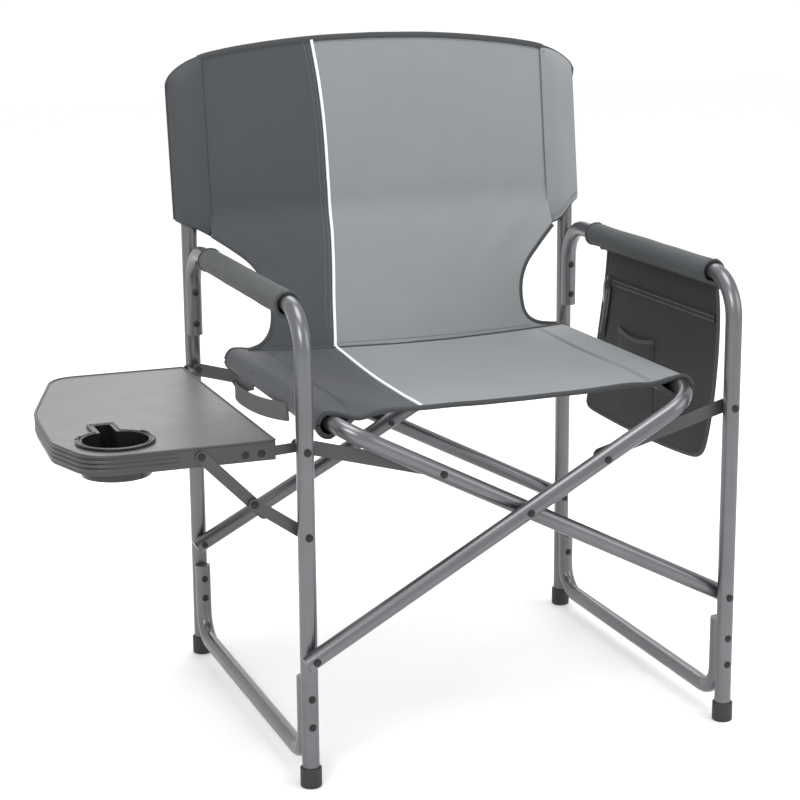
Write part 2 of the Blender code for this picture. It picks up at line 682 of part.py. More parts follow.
def table_arm(place, side):
    """A flat bar on the inside of the rim that carries the table on the leg's rivet."""
    near, far = table_arm_faces(side)
    pivot = (-SIDE_X, 0, LINK_PIVOT_Z)
    outer_end = (ARM_BAR_OUTER_X, 0, LINK_PIVOT_Z - ARM_BAR_DROP)
    if side < 0:
        low, high = sorted((near, far))
        arm = eye_bar(f"table_{place}_arm", pivot, outer_end, ARM_BAR_HEIGHT, low, high, [pivot])
    else:
        rim_side = TABLE_REAR_Y - RIM_WALL - FIT_GAP
        web = (-SIDE_X - ARM_WEB_X, 0, LINK_PIVOT_Z)
        low, high = rim_side - ARM_BAR_THICK, rim_side
        arm = plate(
            f"table_{place}_arm",
            bar_outline(web[0], outer_end[0], LINK_PIVOT_Z, outer_end[2], ARM_BAR_HEIGHT),
            low,
            high,
            "xz",
        )
        half = ARM_BAR_HEIGHT / 2
        web_low = (web[0] - ARM_BAR_THICK, low, LINK_PIVOT_Z - half)
        web_high = (web[0], near, LINK_PIVOT_Z + half)
        join(arm, box("web", web_low, web_high))
        eye_start = (web[0] - ARM_BAR_THICK / 2, 0, LINK_PIVOT_Z)
        join(arm, eye_bar("eye", eye_start, pivot, ARM_BAR_HEIGHT, far, near, []))
        bore(arm, pivot[0], near, pivot[2], 2 * ARM_BAR_THICK)
    finish(arm, TABLE, BRACKET_PAINT)


def bar_outline(x_inner, x_outer, z_inner, z_outer, height):
    half = height / 2
    return [
        (x_inner, z_inner - half),
        (x_inner, z_inner + half),
        (x_outer, z_outer + half),
        (x_outer, z_outer - half),
    ]


def cup_holder(under):
    """A black cup that drops through the board and hangs by its flange."""
    flange_low = TABLE_TOP_Z + FIT_GAP
    flange_top = flange_low + CUP_FLANGE_THICK
    bottom = flange_top - CUP_DEPTH
    cup = plate("cup_holder", keyhole(CUP_FLANGE), flange_low, flange_top, "xy")
    join(cup, plate("cup_body", keyhole(-FIT_GAP), bottom, flange_low + CUP_FLANGE_THICK / 2, "xy"))
    hollow = keyhole(-CUP_WALL - FIT_GAP)
    cut(cup, plate("cup_hollow", hollow, bottom + CUP_WALL, flange_top + 0.01, "xy"))
    finish(cup, TABLE, CUP_BLACK)


def brace_knee():
    """Where the two brace bars meet at rest, from their lengths, on the side away from the legs."""
    reach = BRACE_TABLE - BRACE_LEG
    gap = reach.length
    along = (BRACE_LOWER_LEN**2 - BRACE_UPPER_LEN**2 + gap**2) / (2 * gap)
    off = math.sqrt(max(BRACE_LOWER_LEN**2 - along**2, 0.0))
    unit = reach / gap
    down = Vector((-unit.z, 0, unit.x))
    down = down if down.z < 0 else -down
    return BRACE_LEG + unit * along + down * off


def braces():
    """Under each end of the table: an upper bar on the rim and a lower bar on the leg."""
    knee = brace_knee()
    for place, side in (("front", -1), ("rear", 1)):
        rim_face = TABLE_FRONT_Y if side < 0 else TABLE_REAR_Y
        upper = [rim_face + side * FIT_GAP, rim_face + side * (FIT_GAP + BRACE_THICK)]
        layer = [upper[1] + side * FIT_GAP, upper[1] + side * (FIT_GAP + BRACE_HEAD)]
        lower = [layer[1] + side * FIT_GAP, layer[1] + side * (FIT_GAP + BRACE_THICK)]
        tail = BRACE_TAIL if side < 0 else 0.0
        bar = eye_bar(
            f"brace_{place}_upper", BRACE_TABLE, knee, BRACE_WIDTH, *sorted(upper), [BRACE_TABLE], tail
        )
        finish(bar, BRACE_UPPER, BRACKET_PAINT)
        bar = eye_bar(
            f"brace_{place}_lower", knee, BRACE_LEG, BRACE_WIDTH, *sorted(lower), [BRACE_LEG, knee]
        )
        finish(bar, BRACE_LOWER, BRACKET_PAINT)
        rim_back = rim_face - side * (RIM_WALL + FIT_GAP)
        flat_rivet(f"brace_{place}_table_rivet", BRACE_TABLE, layer[0], rim_back, TABLE)
        flat_rivet(f"brace_{place}_knee_rivet", knee, lower[1] + side * FIT_GAP, lower[0], BRACE_LOWER, 0)
        leg_side = side * (LEG_Y + TUBE_R + FIT_GAP)
        inside = side * (LEG_Y - TUBE_R - FIT_GAP)
        rivet(
            f"brace_{place}_leg_rivet",
            BRACE_LEG.x,
            BRACE_LEG.z,
            leg_side,
            lower[0] - side * FIT_GAP,
            LEFT,
            collars=[(inside, lower[1] + side * FIT_GAP)],
            tail_head=BRACE_HEAD - 2 * FIT_GAP,
        )


def flat_rivet(name, at, y_head, y_tail, body, tail_head=0.001):
    """A rivet with a low head, for the narrow room between two brace bars."""
    way = 1 if y_tail > y_head else -1
    low_head = BRACE_HEAD - FIT_GAP
    profile = [
        (0, y_head - way * low_head),
        (HEAD_R * 0.8, y_head - way * low_head),
        (HEAD_R, y_head - way * low_head * 0.4),
        (HEAD_R, y_head),
        (PIN_R, y_head),
        (PIN_R, y_tail),
    ]
    if tail_head:
        profile += [(HEAD_R * 0.85, y_tail), (HEAD_R * 0.85, y_tail + way * tail_head)]
    profile.append((0, y_tail + way * tail_head))
    finish(turned(name, profile, (at.x, 0, at.z)), body, RIVET_BLACK)


def sleeve(name, points, radius, bore_points, bore_radius, body, paint, resolution=5):
    """A fabric sleeve round a tube, open where the tube passes through."""
    piece = tube(name, points, radius, resolution)
    cut(piece, tube("sleeve_bore", bore_points, bore_radius, resolution))
    return finish(piece, body, paint)


def arm_sleeves():
    for label, x, body in (("left", -SIDE_X, LEFT), ("right", SIDE_X, RIGHT)):
        line = [(x, ARM_SLEEVE_FRONT, ARM_Z), (x, ARM_SLEEVE_REAR, ARM_Z)]
        through = [(x, ARM_SLEEVE_FRONT - 0.01, ARM_Z), (x, ARM_SLEEVE_REAR + 0.01, ARM_Z)]
        sleeve(f"{label}_arm_sleeve", line, ARM_SLEEVE_R, through, SLEEVE_BORE_R, body, CLOTH_DARK)


def seat_sleeves():
    for label, x, body, paint in (
        ("left", -RAIL_X, FRAME_B, CLOTH_DARK),
        ("right", RAIL_X, FRAME_A, CLOTH_LIGHT),
    ):
        line = [(x, SEAT_SLEEVE_FRONT, RAIL_Z), (x, SEAT_SLEEVE_REAR, RAIL_Z)]
        through = [(x, SEAT_SLEEVE_FRONT - 0.01, RAIL_Z), (x, SEAT_SLEEVE_REAR + 0.01, RAIL_Z)]
        sleeve(f"seat_{label}_sleeve", line, SEAT_SLEEVE_R, through, SLEEVE_BORE_R, body, paint)


def back_sleeves():
    """Pockets of the back panel that slip down over the uprights, closed at the top."""
    for label, hand, body, paint in (("left", -1, LEFT, CLOTH_DARK), ("right", 1, RIGHT, CLOTH_LIGHT)):
        tube_x = hand * SIDE_X
        x = hand * (SIDE_X + BACK_SLEEVE_OUT)
        top = (x, upright_y(BACK_CORNER_Z), BACK_CORNER_Z)
        line = [(x, upright_y(BACK_SLEEVE_Z), BACK_SLEEVE_Z), top]
        low_corners = [
            (tube_x, LEG_Y, UPRIGHT_BEND_Z - 0.1),
            (tube_x, LEG_Y, UPRIGHT_BEND_Z),
            (tube_x, LEG_Y + UPRIGHT_LEAN, UPRIGHT_TOP),
        ]
        top_gap = Vector((0, UPRIGHT_LEAN, UPRIGHT_TOP - UPRIGHT_BEND_Z)).normalized() * FIT_GAP
        through = rounded_path(low_corners, [UPRIGHT_BEND], 3)
        through[-1] = through[-1] + top_gap
        sleeve(f"back_{label}_sleeve", line, BACK_SLEEVE_R, through, SLEEVE_BORE_R, body, paint)


def sheet(name, rows, thick, body, paint):
    """A cloth sheet lofted through rows of points, given its thickness."""
    shape = bmesh.new()
    grid = [[shape.verts.new(point) for point in row] for row in rows]
    for lower, upper in zip(grid, grid[1:]):
        for index in range(len(lower) - 1):
            shape.faces.new((lower[index], lower[index + 1], upper[index + 1], upper[index]))
    piece = mesh_object(name, shape)
    finish(piece, body, paint)
    solid = piece.modifiers.new("cloth_thickness", "SOLIDIFY")
    solid.thickness = thick
    solid.offset = 0
    return piece


def seat_panel():
    """The seat cloth between the two rail sleeves. It sags a little between them."""
    half = RAIL_X - SEAT_SLEEVE_R - 0.001
    columns, lines = 12, 4
    rows = []
    for line in range(lines + 1):
        y = SEAT_SLEEVE_FRONT + (SEAT_SLEEVE_REAR - SEAT_SLEEVE_FRONT) * line / lines
        row = []
        for column in range(columns + 1):
            share = 2 * column / columns - 1
            row.append((share * half, y, SEAT_Z - SEAT_SAG * (1 - share**2)))
        rows.append(row)
    sheet("seat_panel", rows, CLOTH, FRAME_A, CLOTH_LIGHT)


def back_half_width(z):
    """Half the back panel's width: full between the sleeves, narrow at the waist, wide at the seat."""
    full = SIDE_X + BACK_SLEEVE_OUT - BACK_SLEEVE_R - 0.001
    shoulder = BACK_SLEEVE_Z - 0.006
    seat_half = RAIL_X - SEAT_SLEEVE_R - 0.006
    if z >= shoulder:
        return full
    if z >= BACK_WAIST_Z:
        share = (z - BACK_WAIST_Z) / (shoulder - BACK_WAIST_Z)
        return BACK_WAIST_X + (full - BACK_WAIST_X) * share**1.7
    share = (BACK_WAIST_Z - z) / (BACK_WAIST_Z - BACK_CREASE_Z)
    return BACK_WAIST_X + (seat_half - BACK_WAIST_X) * share**2.2


def back_y(z):
    """The panel runs from the seat crease up and back to the uprights, then up along them."""
    if z >= BACK_SLEEVE_Z:
        return upright_y(z) - 0.004
    share = (z - BACK_CREASE_Z) / (BACK_SLEEVE_Z - BACK_CREASE_Z)
    return BACK_CREASE_Y + (upright_y(BACK_SLEEVE_Z) - 0.004 - BACK_CREASE_Y) * share


def back_panel():
    """The back cloth, with an arched top and two cut-outs above the seat."""
    columns = 12
    levels = [BACK_CREASE_Z, 0.480, 0.496, BACK_WAIST_Z, 0.548, 0.578, 0.610, 0.632, BACK_SLEEVE_Z]
    levels += [0.700, 0.760, 0.810]
    rows = []
    for z in levels:
        half = back_half_width(z)
        rows.append([(half * (2 * c / columns - 1), back_y(z), z) for c in range(columns + 1)])
    half = back_half_width(BACK_CORNER_Z)
    arch = []
    for column in range(columns + 1):
        share = 2 * column / columns - 1
        z = BACK_CROWN_Z - (BACK_CROWN_Z - BACK_CORNER_Z) * abs(share) ** 2.3
        arch.append((half * share, back_y(z), z))
    rows.append(arch)
    sheet("back_panel", rows, CLOTH, LEFT, CLOTH_LIGHT)


def side_pocket():
    """A flat bag that hangs from the right arm sleeve, outside the frame."""
    outline = [
        (POCKET_FRONT_TOP, POCKET_TOP),
        (POCKET_FRONT_TOP, POCKET_TOP - 0.15),
        (POCKET_FRONT_BOTTOM, POCKET_BOTTOM),
        (POCKET_REAR_BOTTOM, POCKET_BOTTOM),
        (POCKET_REAR_TOP, POCKET_TOP - 0.12),
        (POCKET_REAR_TOP, POCKET_TOP),
    ]
    shape = rounded_outline(outline, [0.004, 0.10, 0.014, 0.018, 0.12, 0.004], 4)
    bag = plate("side_pocket", shape, POCKET_INNER_X, POCKET_INNER_X + POCKET_THICK, "yz")
    grip = ARM_SLEEVE_R + FIT_GAP
    low, high = ARM_SLEEVE_FRONT - 0.01, ARM_SLEEVE_REAR + 0.01
    cut(bag, rod("arm_room", (SIDE_X, low, ARM_Z), (SIDE_X, high, ARM_Z), grip, 24))
    room_outline = [
        (POCKET_FRONT_TOP + POCKET_HEM, ZIP_TOP),
        (POCKET_FRONT_BOTTOM + POCKET_HEM, POCKET_BOTTOM + POCKET_HEM),
        (POCKET_REAR_BOTTOM - 2 * POCKET_HEM, POCKET_BOTTOM + POCKET_HEM),
        (POCKET_REAR_TOP - POCKET_HEM, ZIP_TOP),
    ]
    room = rounded_outline(room_outline, [0.004, 0.014, 0.018, 0.004], 3)
    mid = POCKET_INNER_X + POCKET_THICK / 2
    inner, outer = mid - POCKET_ROOM / 2, mid + POCKET_ROOM / 2
    cut(bag, plate("bag_room", room, inner, outer, "yz"))
    mouth_low = (inner, POCKET_FRONT_TOP + POCKET_MOUTH_INSET, ZIP_TOP - 0.02)
    mouth_high = (outer, POCKET_REAR_TOP - POCKET_MOUTH_INSET, POCKET_TOP + 0.02)
    cut(bag, box("bag_mouth", mouth_low, mouth_high))
    finish(bag, RIGHT, CLOTH_DARK)
    out = POCKET_INNER_X - FIT_GAP
    slider_y = POCKET_REAR_TOP - ZIP_SLIDER_INSET
    slider_low = (out - ZIP_SLIDER_THICK, slider_y, ZIP_TOP - ZIP_SLIDER_H)
    slider_high = (out, slider_y + ZIP_SLIDER_WIDTH, ZIP_TOP)
    finish(box("zip_slider", slider_low, slider_high), ZIP, ZIP_METAL)


def carry_strap():
    """A webbing loop under the left seat sleeve, sewn on at both ends."""
    x = -RAIL_X - SEAT_SLEEVE_R - STRAP_THICK
    steps = 10
    upper, lower = [], []
    for step in range(steps + 1):
        share = step / steps
        y = STRAP_FRONT + (STRAP_REAR - STRAP_FRONT) * share
        top = RAIL_Z + STRAP_ABOVE_RAIL - STRAP_DROP * math.sin(math.pi * share) ** 0.7
        upper.append((y, top))
        lower.append((y, top - STRAP_WIDTH))
    strap = plate("carry_strap", upper + lower[::-1], x - STRAP_THICK, x, "yz")
    finish(strap, FRAME_B, WEBBING)


def centre_on_floor():
    """Moves the chair so that the middle of its outline on the floor is the origin."""
    bpy.context.view_layer.update()
    graph = bpy.context.evaluated_depsgraph_get()
    low, high = Vector((9, 9, 9)), Vector((-9, -9, -9))
    for piece in PARTS.objects:
        if piece.type != "MESH":
            continue
        evaluated = piece.evaluated_get(graph)
        mesh = evaluated.to_mesh()
        for vert in mesh.vertices:
            place = evaluated.matrix_world @ vert.co
            low = Vector(map(min, low, place))
            high = Vector(map(max, high, place))
        evaluated.to_mesh_clear()
    middle = (low + high) / 2
    CHAIR.location = (-middle.x, -middle.y, 0)
    print("chair moved by", round(-middle.x, 6), round(-middle.y, 6))


side_frame("left", -SIDE_X, LEFT)
side_frame("right", SIDE_X, RIGHT)
seat_frame("a", FRAME_A)
seat_frame("b", FRAME_B)
lower_and_cross_rivets()
links()
side_table()
braces()
arm_sleeves()
seat_sleeves()
back_sleeves()
seat_panel()
back_panel()
side_pocket()
carry_strap()
centre_on_floor()
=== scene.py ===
"""Looks of the folding camp chair: cloth, webbing, trims, rivet heads, finishes, camera and light.

Every position below is in metres from the point on the floor midway between the four legs,
with the chair's front towards -Y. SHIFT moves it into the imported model's frame.
"""

import json
import math

import bpy
import numpy as np
from mathutils import Matrix, Vector, noise


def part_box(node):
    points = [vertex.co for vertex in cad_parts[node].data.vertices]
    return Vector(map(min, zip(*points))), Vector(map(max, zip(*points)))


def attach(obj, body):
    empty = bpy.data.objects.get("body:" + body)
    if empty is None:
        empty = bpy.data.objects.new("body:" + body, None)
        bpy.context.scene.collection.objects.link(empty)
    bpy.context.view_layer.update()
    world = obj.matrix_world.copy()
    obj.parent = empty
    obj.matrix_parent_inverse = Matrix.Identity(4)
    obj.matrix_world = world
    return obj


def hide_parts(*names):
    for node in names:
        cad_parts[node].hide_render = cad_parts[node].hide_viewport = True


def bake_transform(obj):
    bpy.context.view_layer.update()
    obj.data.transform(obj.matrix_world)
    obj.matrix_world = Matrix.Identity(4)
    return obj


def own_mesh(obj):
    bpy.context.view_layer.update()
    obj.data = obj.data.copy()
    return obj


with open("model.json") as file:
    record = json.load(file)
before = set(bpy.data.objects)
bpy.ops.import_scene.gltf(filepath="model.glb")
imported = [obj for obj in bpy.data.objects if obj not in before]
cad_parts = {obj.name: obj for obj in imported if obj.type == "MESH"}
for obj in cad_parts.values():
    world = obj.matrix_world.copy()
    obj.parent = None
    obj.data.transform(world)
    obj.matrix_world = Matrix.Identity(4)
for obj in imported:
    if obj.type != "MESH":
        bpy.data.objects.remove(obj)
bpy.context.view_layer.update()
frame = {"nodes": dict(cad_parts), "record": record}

LEG_X, LEG_Y = 0.292, 0.257  # from the middle to the leg axes
low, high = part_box("left_front_foot")
SHIFT = np.array([(low.x + high.x) / 2 + LEG_X, (low.y + high.y) / 2 + LEG_Y, 0.0])
TUBE_R = 0.011
ARM_Z = 0.605
PANEL_X = 0.2625  # half width of the back between its sleeves
CLOTH = 0.0016  # thickness of the back and seat cloth
PROUD = 0.0009  # from the middle of that cloth to its stitches
SEAM_GAPS = (0.0058, 0.0125)  # from the white piping to its two rows of light stitches
CUP_X, CUP_Y, CUP_R = -0.504, -0.172, 0.0430  # the cup well's middle and radius
TABLE_FRONT, TABLE_REAR = -0.2384, 0.198  # the outer faces of the table's rim
RIM_RIVET_Z = 0.431


# ---------------------------------------------------------------- materials


class Nodes:
    """A material's node tree, with short ways to add to it."""

    def __init__(self, name, roughness=0.5, metallic=0.0):
        self.material = bpy.data.materials.new(name)
        self.material.use_nodes = True
        self.tree = self.material.node_tree
        self.shader = self.tree.nodes["Principled BSDF"]
        self.set(Roughness=roughness, Metallic=metallic)

    def set(self, **values):
        for key, value in values.items():
            self.shader.inputs[key.replace("_", " ")].default_value = value

    def node(self, kind, **inputs):
        made = self.tree.nodes.new(kind)
        for key, value in inputs.items():
            socket = made.inputs[key.replace("_", " ")]
            if isinstance(value, bpy.types.NodeSocket):
                self.tree.links.new(value, socket)
            else:
                socket.default_value = value
        return made

    def math(self, operation, first, second=0.0):
        made = self.tree.nodes.new("ShaderNodeMath")
        made.operation = operation
        for socket, value in zip(made.inputs, (first, second)):
            if isinstance(value, bpy.types.NodeSocket):
                self.tree.links.new(value, socket)
            else:
                socket.default_value = value
        return made.outputs[0]

    def ramp(self, factor, *stops):
        made = self.node("ShaderNodeValToRGB", Fac=factor)
        elements = made.color_ramp.elements
        while len(elements) < len(stops):
            elements.new(0.5)
        for element, (place, colour) in zip(elements, stops):
            element.position = place
            element.color = (*colour, 1)
        return made.outputs["Color"]

    def noise(self, scale, detail=3.0, roughness=0.55):
        place = self.node("ShaderNodeTexCoord").outputs["Object"]
        values = {"Scale": scale, "Detail": detail, "Roughness": roughness}
        return self.node("ShaderNodeTexNoise", Vector=place, **values).outputs["Fac"]

    def bump(self, height, strength, distance, normal=None):
        made = self.node("ShaderNodeBump", Height=height, Strength=strength, Distance=distance)
        if normal is not None:
            self.tree.links.new(normal, made.inputs["Normal"])
        return made.outputs["Normal"]

    def use(self, colour=None, normal=None, roughness=None):
        for value, key in ((colour, "Base Color"), (normal, "Normal"), (roughness, "Roughness")):
            if value is not None:
                self.tree.links.new(value, self.shader.inputs[key])
        return self.material


def shade(colour, factor):
    return tuple(min(1.0, channel * factor) for channel in colour)


def woven(name, colour, pitch=0.0011, strength=0.45, contrast=0.16, roughness=0.78, rib=1.0):
    """Plain-woven cloth, drawn darker in the gaps of its weave as painted shade. The cloth meshes carry their
    own lengths in metres as UVs.
    """
    made = Nodes(name, roughness)
    place = made.node("ShaderNodeTexCoord").outputs["UV"]
    apart = made.node("ShaderNodeSeparateXYZ", Vector=place)
    along = made.math("SINE", made.math("MULTIPLY", apart.outputs["X"], math.tau / pitch))
    across = made.math("SINE", made.math("MULTIPLY", apart.outputs["Y"], math.tau / (pitch * rib)))
    weave = made.math("MULTIPLY_ADD", made.math("MULTIPLY", along, across), 0.5)
    weave.node.inputs[2].default_value = 0.5
    fibre = made.noise(2600.0, 2.0)
    cloud = made.noise(9.0, 4.0)
    # the colour follows the height of the weave and fibres, darker where they are low: painted shade in the
    # gaps between the yarns, plus a cloud that varies at random
    height = made.math("ADD", weave, made.math("MULTIPLY", fibre, 0.6))
    tone = made.math("ADD", made.math("MULTIPLY", height, 0.42), made.math("MULTIPLY", cloud, 0.36))
    colours = made.ramp(
        tone,
        (0.16, shade(colour, 1 - contrast)),
        (0.50, colour),
        (0.86, shade(colour, 1 + contrast)),
    )
    normal = made.bump(cloud, 0.12, 0.01)
    normal = made.bump(height, strength, 0.00022, normal)
    made.set(Sheen_Weight=0.08, Sheen_Roughness=0.4)
    return made.use(colours, normal)


def powder_coat(name, colour, roughness=0.34, metallic=0.72, wear=0.35):
    """Metallic powder coat: fine orange peel, faint clouding and a few rubbed spots."""
    made = Nodes(name, roughness, metallic)
    cloud = made.noise(14.0, 5.0)
    fleck = made.noise(1500.0, 2.0)
    rub = made.noise(60.0, 6.0, 0.7)
    tone = made.math("ADD", made.math("MULTIPLY", cloud, 0.6), made.math("MULTIPLY", fleck, 0.4))
    colours = made.ramp(tone, (0.3, shade(colour, 0.86)), (0.7, shade(colour, 1.16)))
    rubbed = made.ramp(rub, (0.66, (0, 0, 0)), (0.74, (1, 1, 1)))
    mixed = made.node("ShaderNodeMix", Factor=made.math("MULTIPLY", rubbed, wear))
    mixed.data_type = "RGBA"
    made.tree.links.new(colours, mixed.inputs["A"])
    mixed.inputs["B"].default_value = (*shade(colour, 1.45), 1)
    made.tree.links.new(mixed.outputs["Result"], made.shader.inputs["Base Color"])
    finish = made.math("ADD", made.math("MULTIPLY", fleck, 0.16), roughness - 0.08)
    normal = made.bump(made.noise(900.0, 3.0), 0.16, 0.0003)
    return made.use(None, normal, finish)


def plastic(name, colour, roughness, grain, strength=0.12, metallic=0.0, spread=0.1):
    made = Nodes(name, roughness, metallic)
    fine = made.noise(grain, 3.0)
    cloud = made.noise(7.0, 3.0)
    tone = made.math("ADD", made.math("MULTIPLY", fine, 0.4), made.math("MULTIPLY", cloud, 0.6))
    colours = made.ramp(tone, (0.3, shade(colour, 1 - spread)), (0.7, shade(colour, 1 + spread)))
    finish = made.math("ADD", made.math("MULTIPLY", made.noise(25.0, 5.0), 0.16), roughness - 0.08)
    return made.use(colours, made.bump(fine, strength, 0.0002), finish)


LIGHT = (0.188, 0.197, 0.203)
DARK = (0.039, 0.043, 0.048)
CHARCOAL = (0.0095, 0.0102, 0.0118)
cloth_light = woven("cloth_light_grey", LIGHT)
cloth_dark = woven("cloth_dark_grey", DARK, contrast=0.22)
cloth_charcoal = woven("cloth_charcoal", CHARCOAL, contrast=0.24)
cloth_sleeve = woven("cloth_sleeve", (0.038, 0.042, 0.045), contrast=0.2)
binding = woven("edge_binding", (0.034, 0.037, 0.040), pitch=0.0016, strength=0.7, contrast=0.3)
piping = woven("white_piping", (0.80, 0.81, 0.82), pitch=0.0014, strength=0.5, contrast=0.06)
webbing = woven("webbing", (0.040, 0.043, 0.046), pitch=0.0030, strength=1.0, contrast=0.35, rib=0.6)
thread_dark = plastic("thread_dark", (0.045, 0.05, 0.055), 0.6, 3000.0)
thread_light = plastic("thread_light", (0.16, 0.165, 0.17), 0.6, 3000.0)
tube_paint = powder_coat("tube_powder_coat", (0.140, 0.143, 0.149), 0.30, 0.84)
flat_paint = powder_coat("bracket_powder_coat", (0.060, 0.062, 0.065), 0.42, 0.5)
rim_paint = powder_coat("rim_powder_coat", (0.052, 0.054, 0.057), 0.40, 0.5)
rivet_paint = powder_coat("rivet_black", (0.018, 0.018, 0.020), 0.30, 0.6, 0.6)
rubber = plastic("foot_rubber", (0.016, 0.016, 0.017), 0.62, 900.0, 0.3)
table_top = plastic("table_laminate", (0.100, 0.102, 0.105), 0.36, 1400.0, 0.10, 0.2, 0.06)
cup_black = plastic("cup_black", (0.010, 0.010, 0.011), 0.26, 700.0, 0.06)
zip_black = plastic("zip_black", (0.014, 0.014, 0.015), 0.32, 1200.0, 0.1)
zip_steel = powder_coat("zip_slider_steel", (0.30, 0.30, 0.31), 0.28, 0.9)


# ---------------------------------------------------------------- mesh tools


def run(path):
    """How far along a path each of its points lies."""
    return np.concatenate([[0], np.cumsum(np.linalg.norm(np.diff(path, axis=0), axis=1))])


class Build:
    """Gathers several strips of mesh into one piece."""

    def __init__(self):
        self.points, self.uvs, self.faces, self.slots = [], [], [], []

    def add(self, points, faces, slot=0, uvs=None):
        start = len(self.points)
        points = [tuple(p) for p in points]
        self.points += points
        if uvs is None:
            uvs = [(p[1] + p[0], p[2]) for p in points]
        self.uvs += [tuple(u) for u in uvs]
        self.faces += [[start + i for i in face] for face in faces]
        self.slots += [slot] * len(faces) if isinstance(slot, int) else list(slot)

    def grid(self, rows, slot=0, close=False, uvs=None, caps=False):
        """Rows of points joined into quads. Close joins each row's end to its start."""
        rows = np.asarray(rows, float)
        count, width = rows.shape[:2]
        if uvs is None:
            across, along = run(rows[count // 2]), run(rows[:, width // 2])
            uvs = [(a, b) for b in along for a in across]
        faces = []
        for r in range(count - 1):
            for c in range(width if close else width - 1):
                d = (c + 1) % width
                faces.append([r * width + c, r * width + d, (r + 1) * width + d, (r + 1) * width + c])
        if caps:
            faces.append(list(range(width))[::-1])
            faces.append([(count - 1) * width + c for c in range(width)])
        if callable(slot):
            slot = [slot(face) for face in faces]
        self.add(rows.reshape(-1, 3), faces, slot, uvs)

    def done(self, name, materials, thickness=0.0, offset=0.0, smooth_angle=40):
        data = bpy.data.meshes.new(name)
        data.from_pydata([tuple(np.asarray(p) + SHIFT) for p in self.points], [], self.faces)
        layer = data.uv_layers.new(name="length")
        for loop in data.loops:
            layer.data[loop.index].uv = self.uvs[loop.vertex_index]
        for material in materials:
            data.materials.append(material)
        for polygon, slot in zip(data.polygons, self.slots):
            polygon.material_index = slot
        made = bpy.data.objects.new(name, data)
        bpy.context.scene.collection.objects.link(made)
        data.validate()
        if thickness:
            solid = made.modifiers.new("thickness", "SOLIDIFY")
            solid.thickness = thickness
            solid.offset = offset
            bake(made)
        made.data.shade_smooth()
        made.data.set_sharp_from_angle(angle=math.radians(smooth_angle))
        return made


def bake(obj):
    """Makes the modified mesh the object's own."""
    bpy.context.view_layer.update()
    graph = bpy.context.evaluated_depsgraph_get()
    data = bpy.data.meshes.new_from_object(obj.evaluated_get(graph))
    obj.modifiers.clear()
    obj.data = data


def smooth(x, table):
    """A smooth curve through a table of (x, value)."""
    xs, ys = (np.asarray(column, float) for column in zip(*table))
    slopes = np.gradient(ys, xs)
    i = np.clip(np.searchsorted(xs, x) - 1, 0, len(xs) - 2)
    h = xs[i + 1] - xs[i]
    t = np.clip((x - xs[i]) / h, 0, 1)
    rise = (1 + 2 * t) * (1 - t) ** 2 * ys[i] + t * (1 - t) ** 2 * h * slopes[i]
    return rise + t * t * (3 - 2 * t) * ys[i + 1] + t * t * (t - 1) * h * slopes[i + 1]


def resample(path, step):
    path = np.asarray(path, float)
    lengths = run(path)
    count = max(2, int(round(lengths[-1] / step)) + 1)
    spots = np.linspace(0, lengths[-1], count)
    return np.stack([np.interp(spots, lengths, path[:, k]) for k in range(3)], axis=1)


def unit(vectors):
    vectors = np.asarray(vectors, float)
    return vectors / np.maximum(np.linalg.norm(vectors, axis=-1, keepdims=True), 1e-12)


def strip(build, path, normals, half_wide, half_thick, slot=0, sides=10, closed=False, square=2.0):
    """A rounded band along a path. Its wide side lies across the path and square to the normals."""
    path = np.asarray(path, float)
    if closed:
        tangents = unit(np.roll(path, -1, axis=0) - np.roll(path, 1, axis=0))
    else:
        tangents = unit(np.gradient(path, axis=0))
    normals = np.broadcast_to(np.asarray(normals, float), path.shape)
    normals = unit(normals - tangents * np.sum(normals * tangents, axis=1, keepdims=True))
    outs = np.cross(tangents, normals)
    rows = []
    for step in range(sides):
        angle = math.tau * step / sides
        a = math.copysign(abs(math.cos(angle)) ** (2 / square), math.cos(angle)) * half_wide
        b = math.copysign(abs(math.sin(angle)) ** (2 / square), math.sin(angle)) * half_thick
        rows.append(path + outs * a + normals * b)
    rows = np.stack(rows, axis=1)
    if closed:
        rows = np.concatenate([rows, rows[:1]])
    build.grid(rows, slot, close=True, caps=not closed)


def cord_mesh(build, path, radius, slot, sides):
    guide = np.array([0.13, 0.31, 0.94])  # any way that no cord here runs along
    strip(build, path, guide, radius, radius, slot, sides)


def stitches(build, path, out, slot=0, pitch=0.0034, length=0.0023, radius=0.00042, start=None):
    """A row of separate stitches that stand a little proud of the cloth, on the side out points to."""
    path = resample(path, 0.001)
    out = np.asarray(out, float)
    lengths = run(path)
    at = pitch / 2 if start is None else start
    while at + length < lengths[-1]:
        ends = [np.array([np.interp(s, lengths, path[:, k]) for k in range(3)])
                for s in (at, at + length)]
        along = unit(ends[1] - ends[0])
        normal = unit(out - along * np.dot(out, along))
        side = np.cross(along, normal)
        points = [ends[0] - normal * radius * 0.3]
        for share in (0.25, 0.75):
            centre = ends[0] + (ends[1] - ends[0]) * share + normal * radius * 0.5
            for a in range(5):
                turn = math.tau * a / 5
                points.append(centre + side * radius * math.cos(turn) + normal * radius * math.sin(turn))
        points.append(ends[1] - normal * radius * 0.3)
        faces = []
        for a in range(5):
            b = (a + 1) % 5
            faces += [[0, 1 + b, 1 + a], [1 + a, 1 + b, 6 + b, 6 + a], [6 + a, 6 + b, 11]]
        build.add(points, faces, slot)
        at += pitch


def dome(build, at, way, radius=0.0050, height=0.0022, sides=16):
    """A rivet's domed head."""
    way = unit(way)
    side = unit(np.cross(way, [0.3, 0.5, 0.81]))
    other = np.cross(way, side)
    rows = []
    for step in range(6):
        angle = math.pi / 2 * step / 6
        r, h = radius * math.cos(angle), height * math.sin(angle)
        rows.append([np.asarray(at) + way * h + side * r * math.cos(t) + other * r * math.sin(t)
                     for t in (math.tau * s / sides for s in range(sides))])
    build.grid(rows, close=True, caps=True)


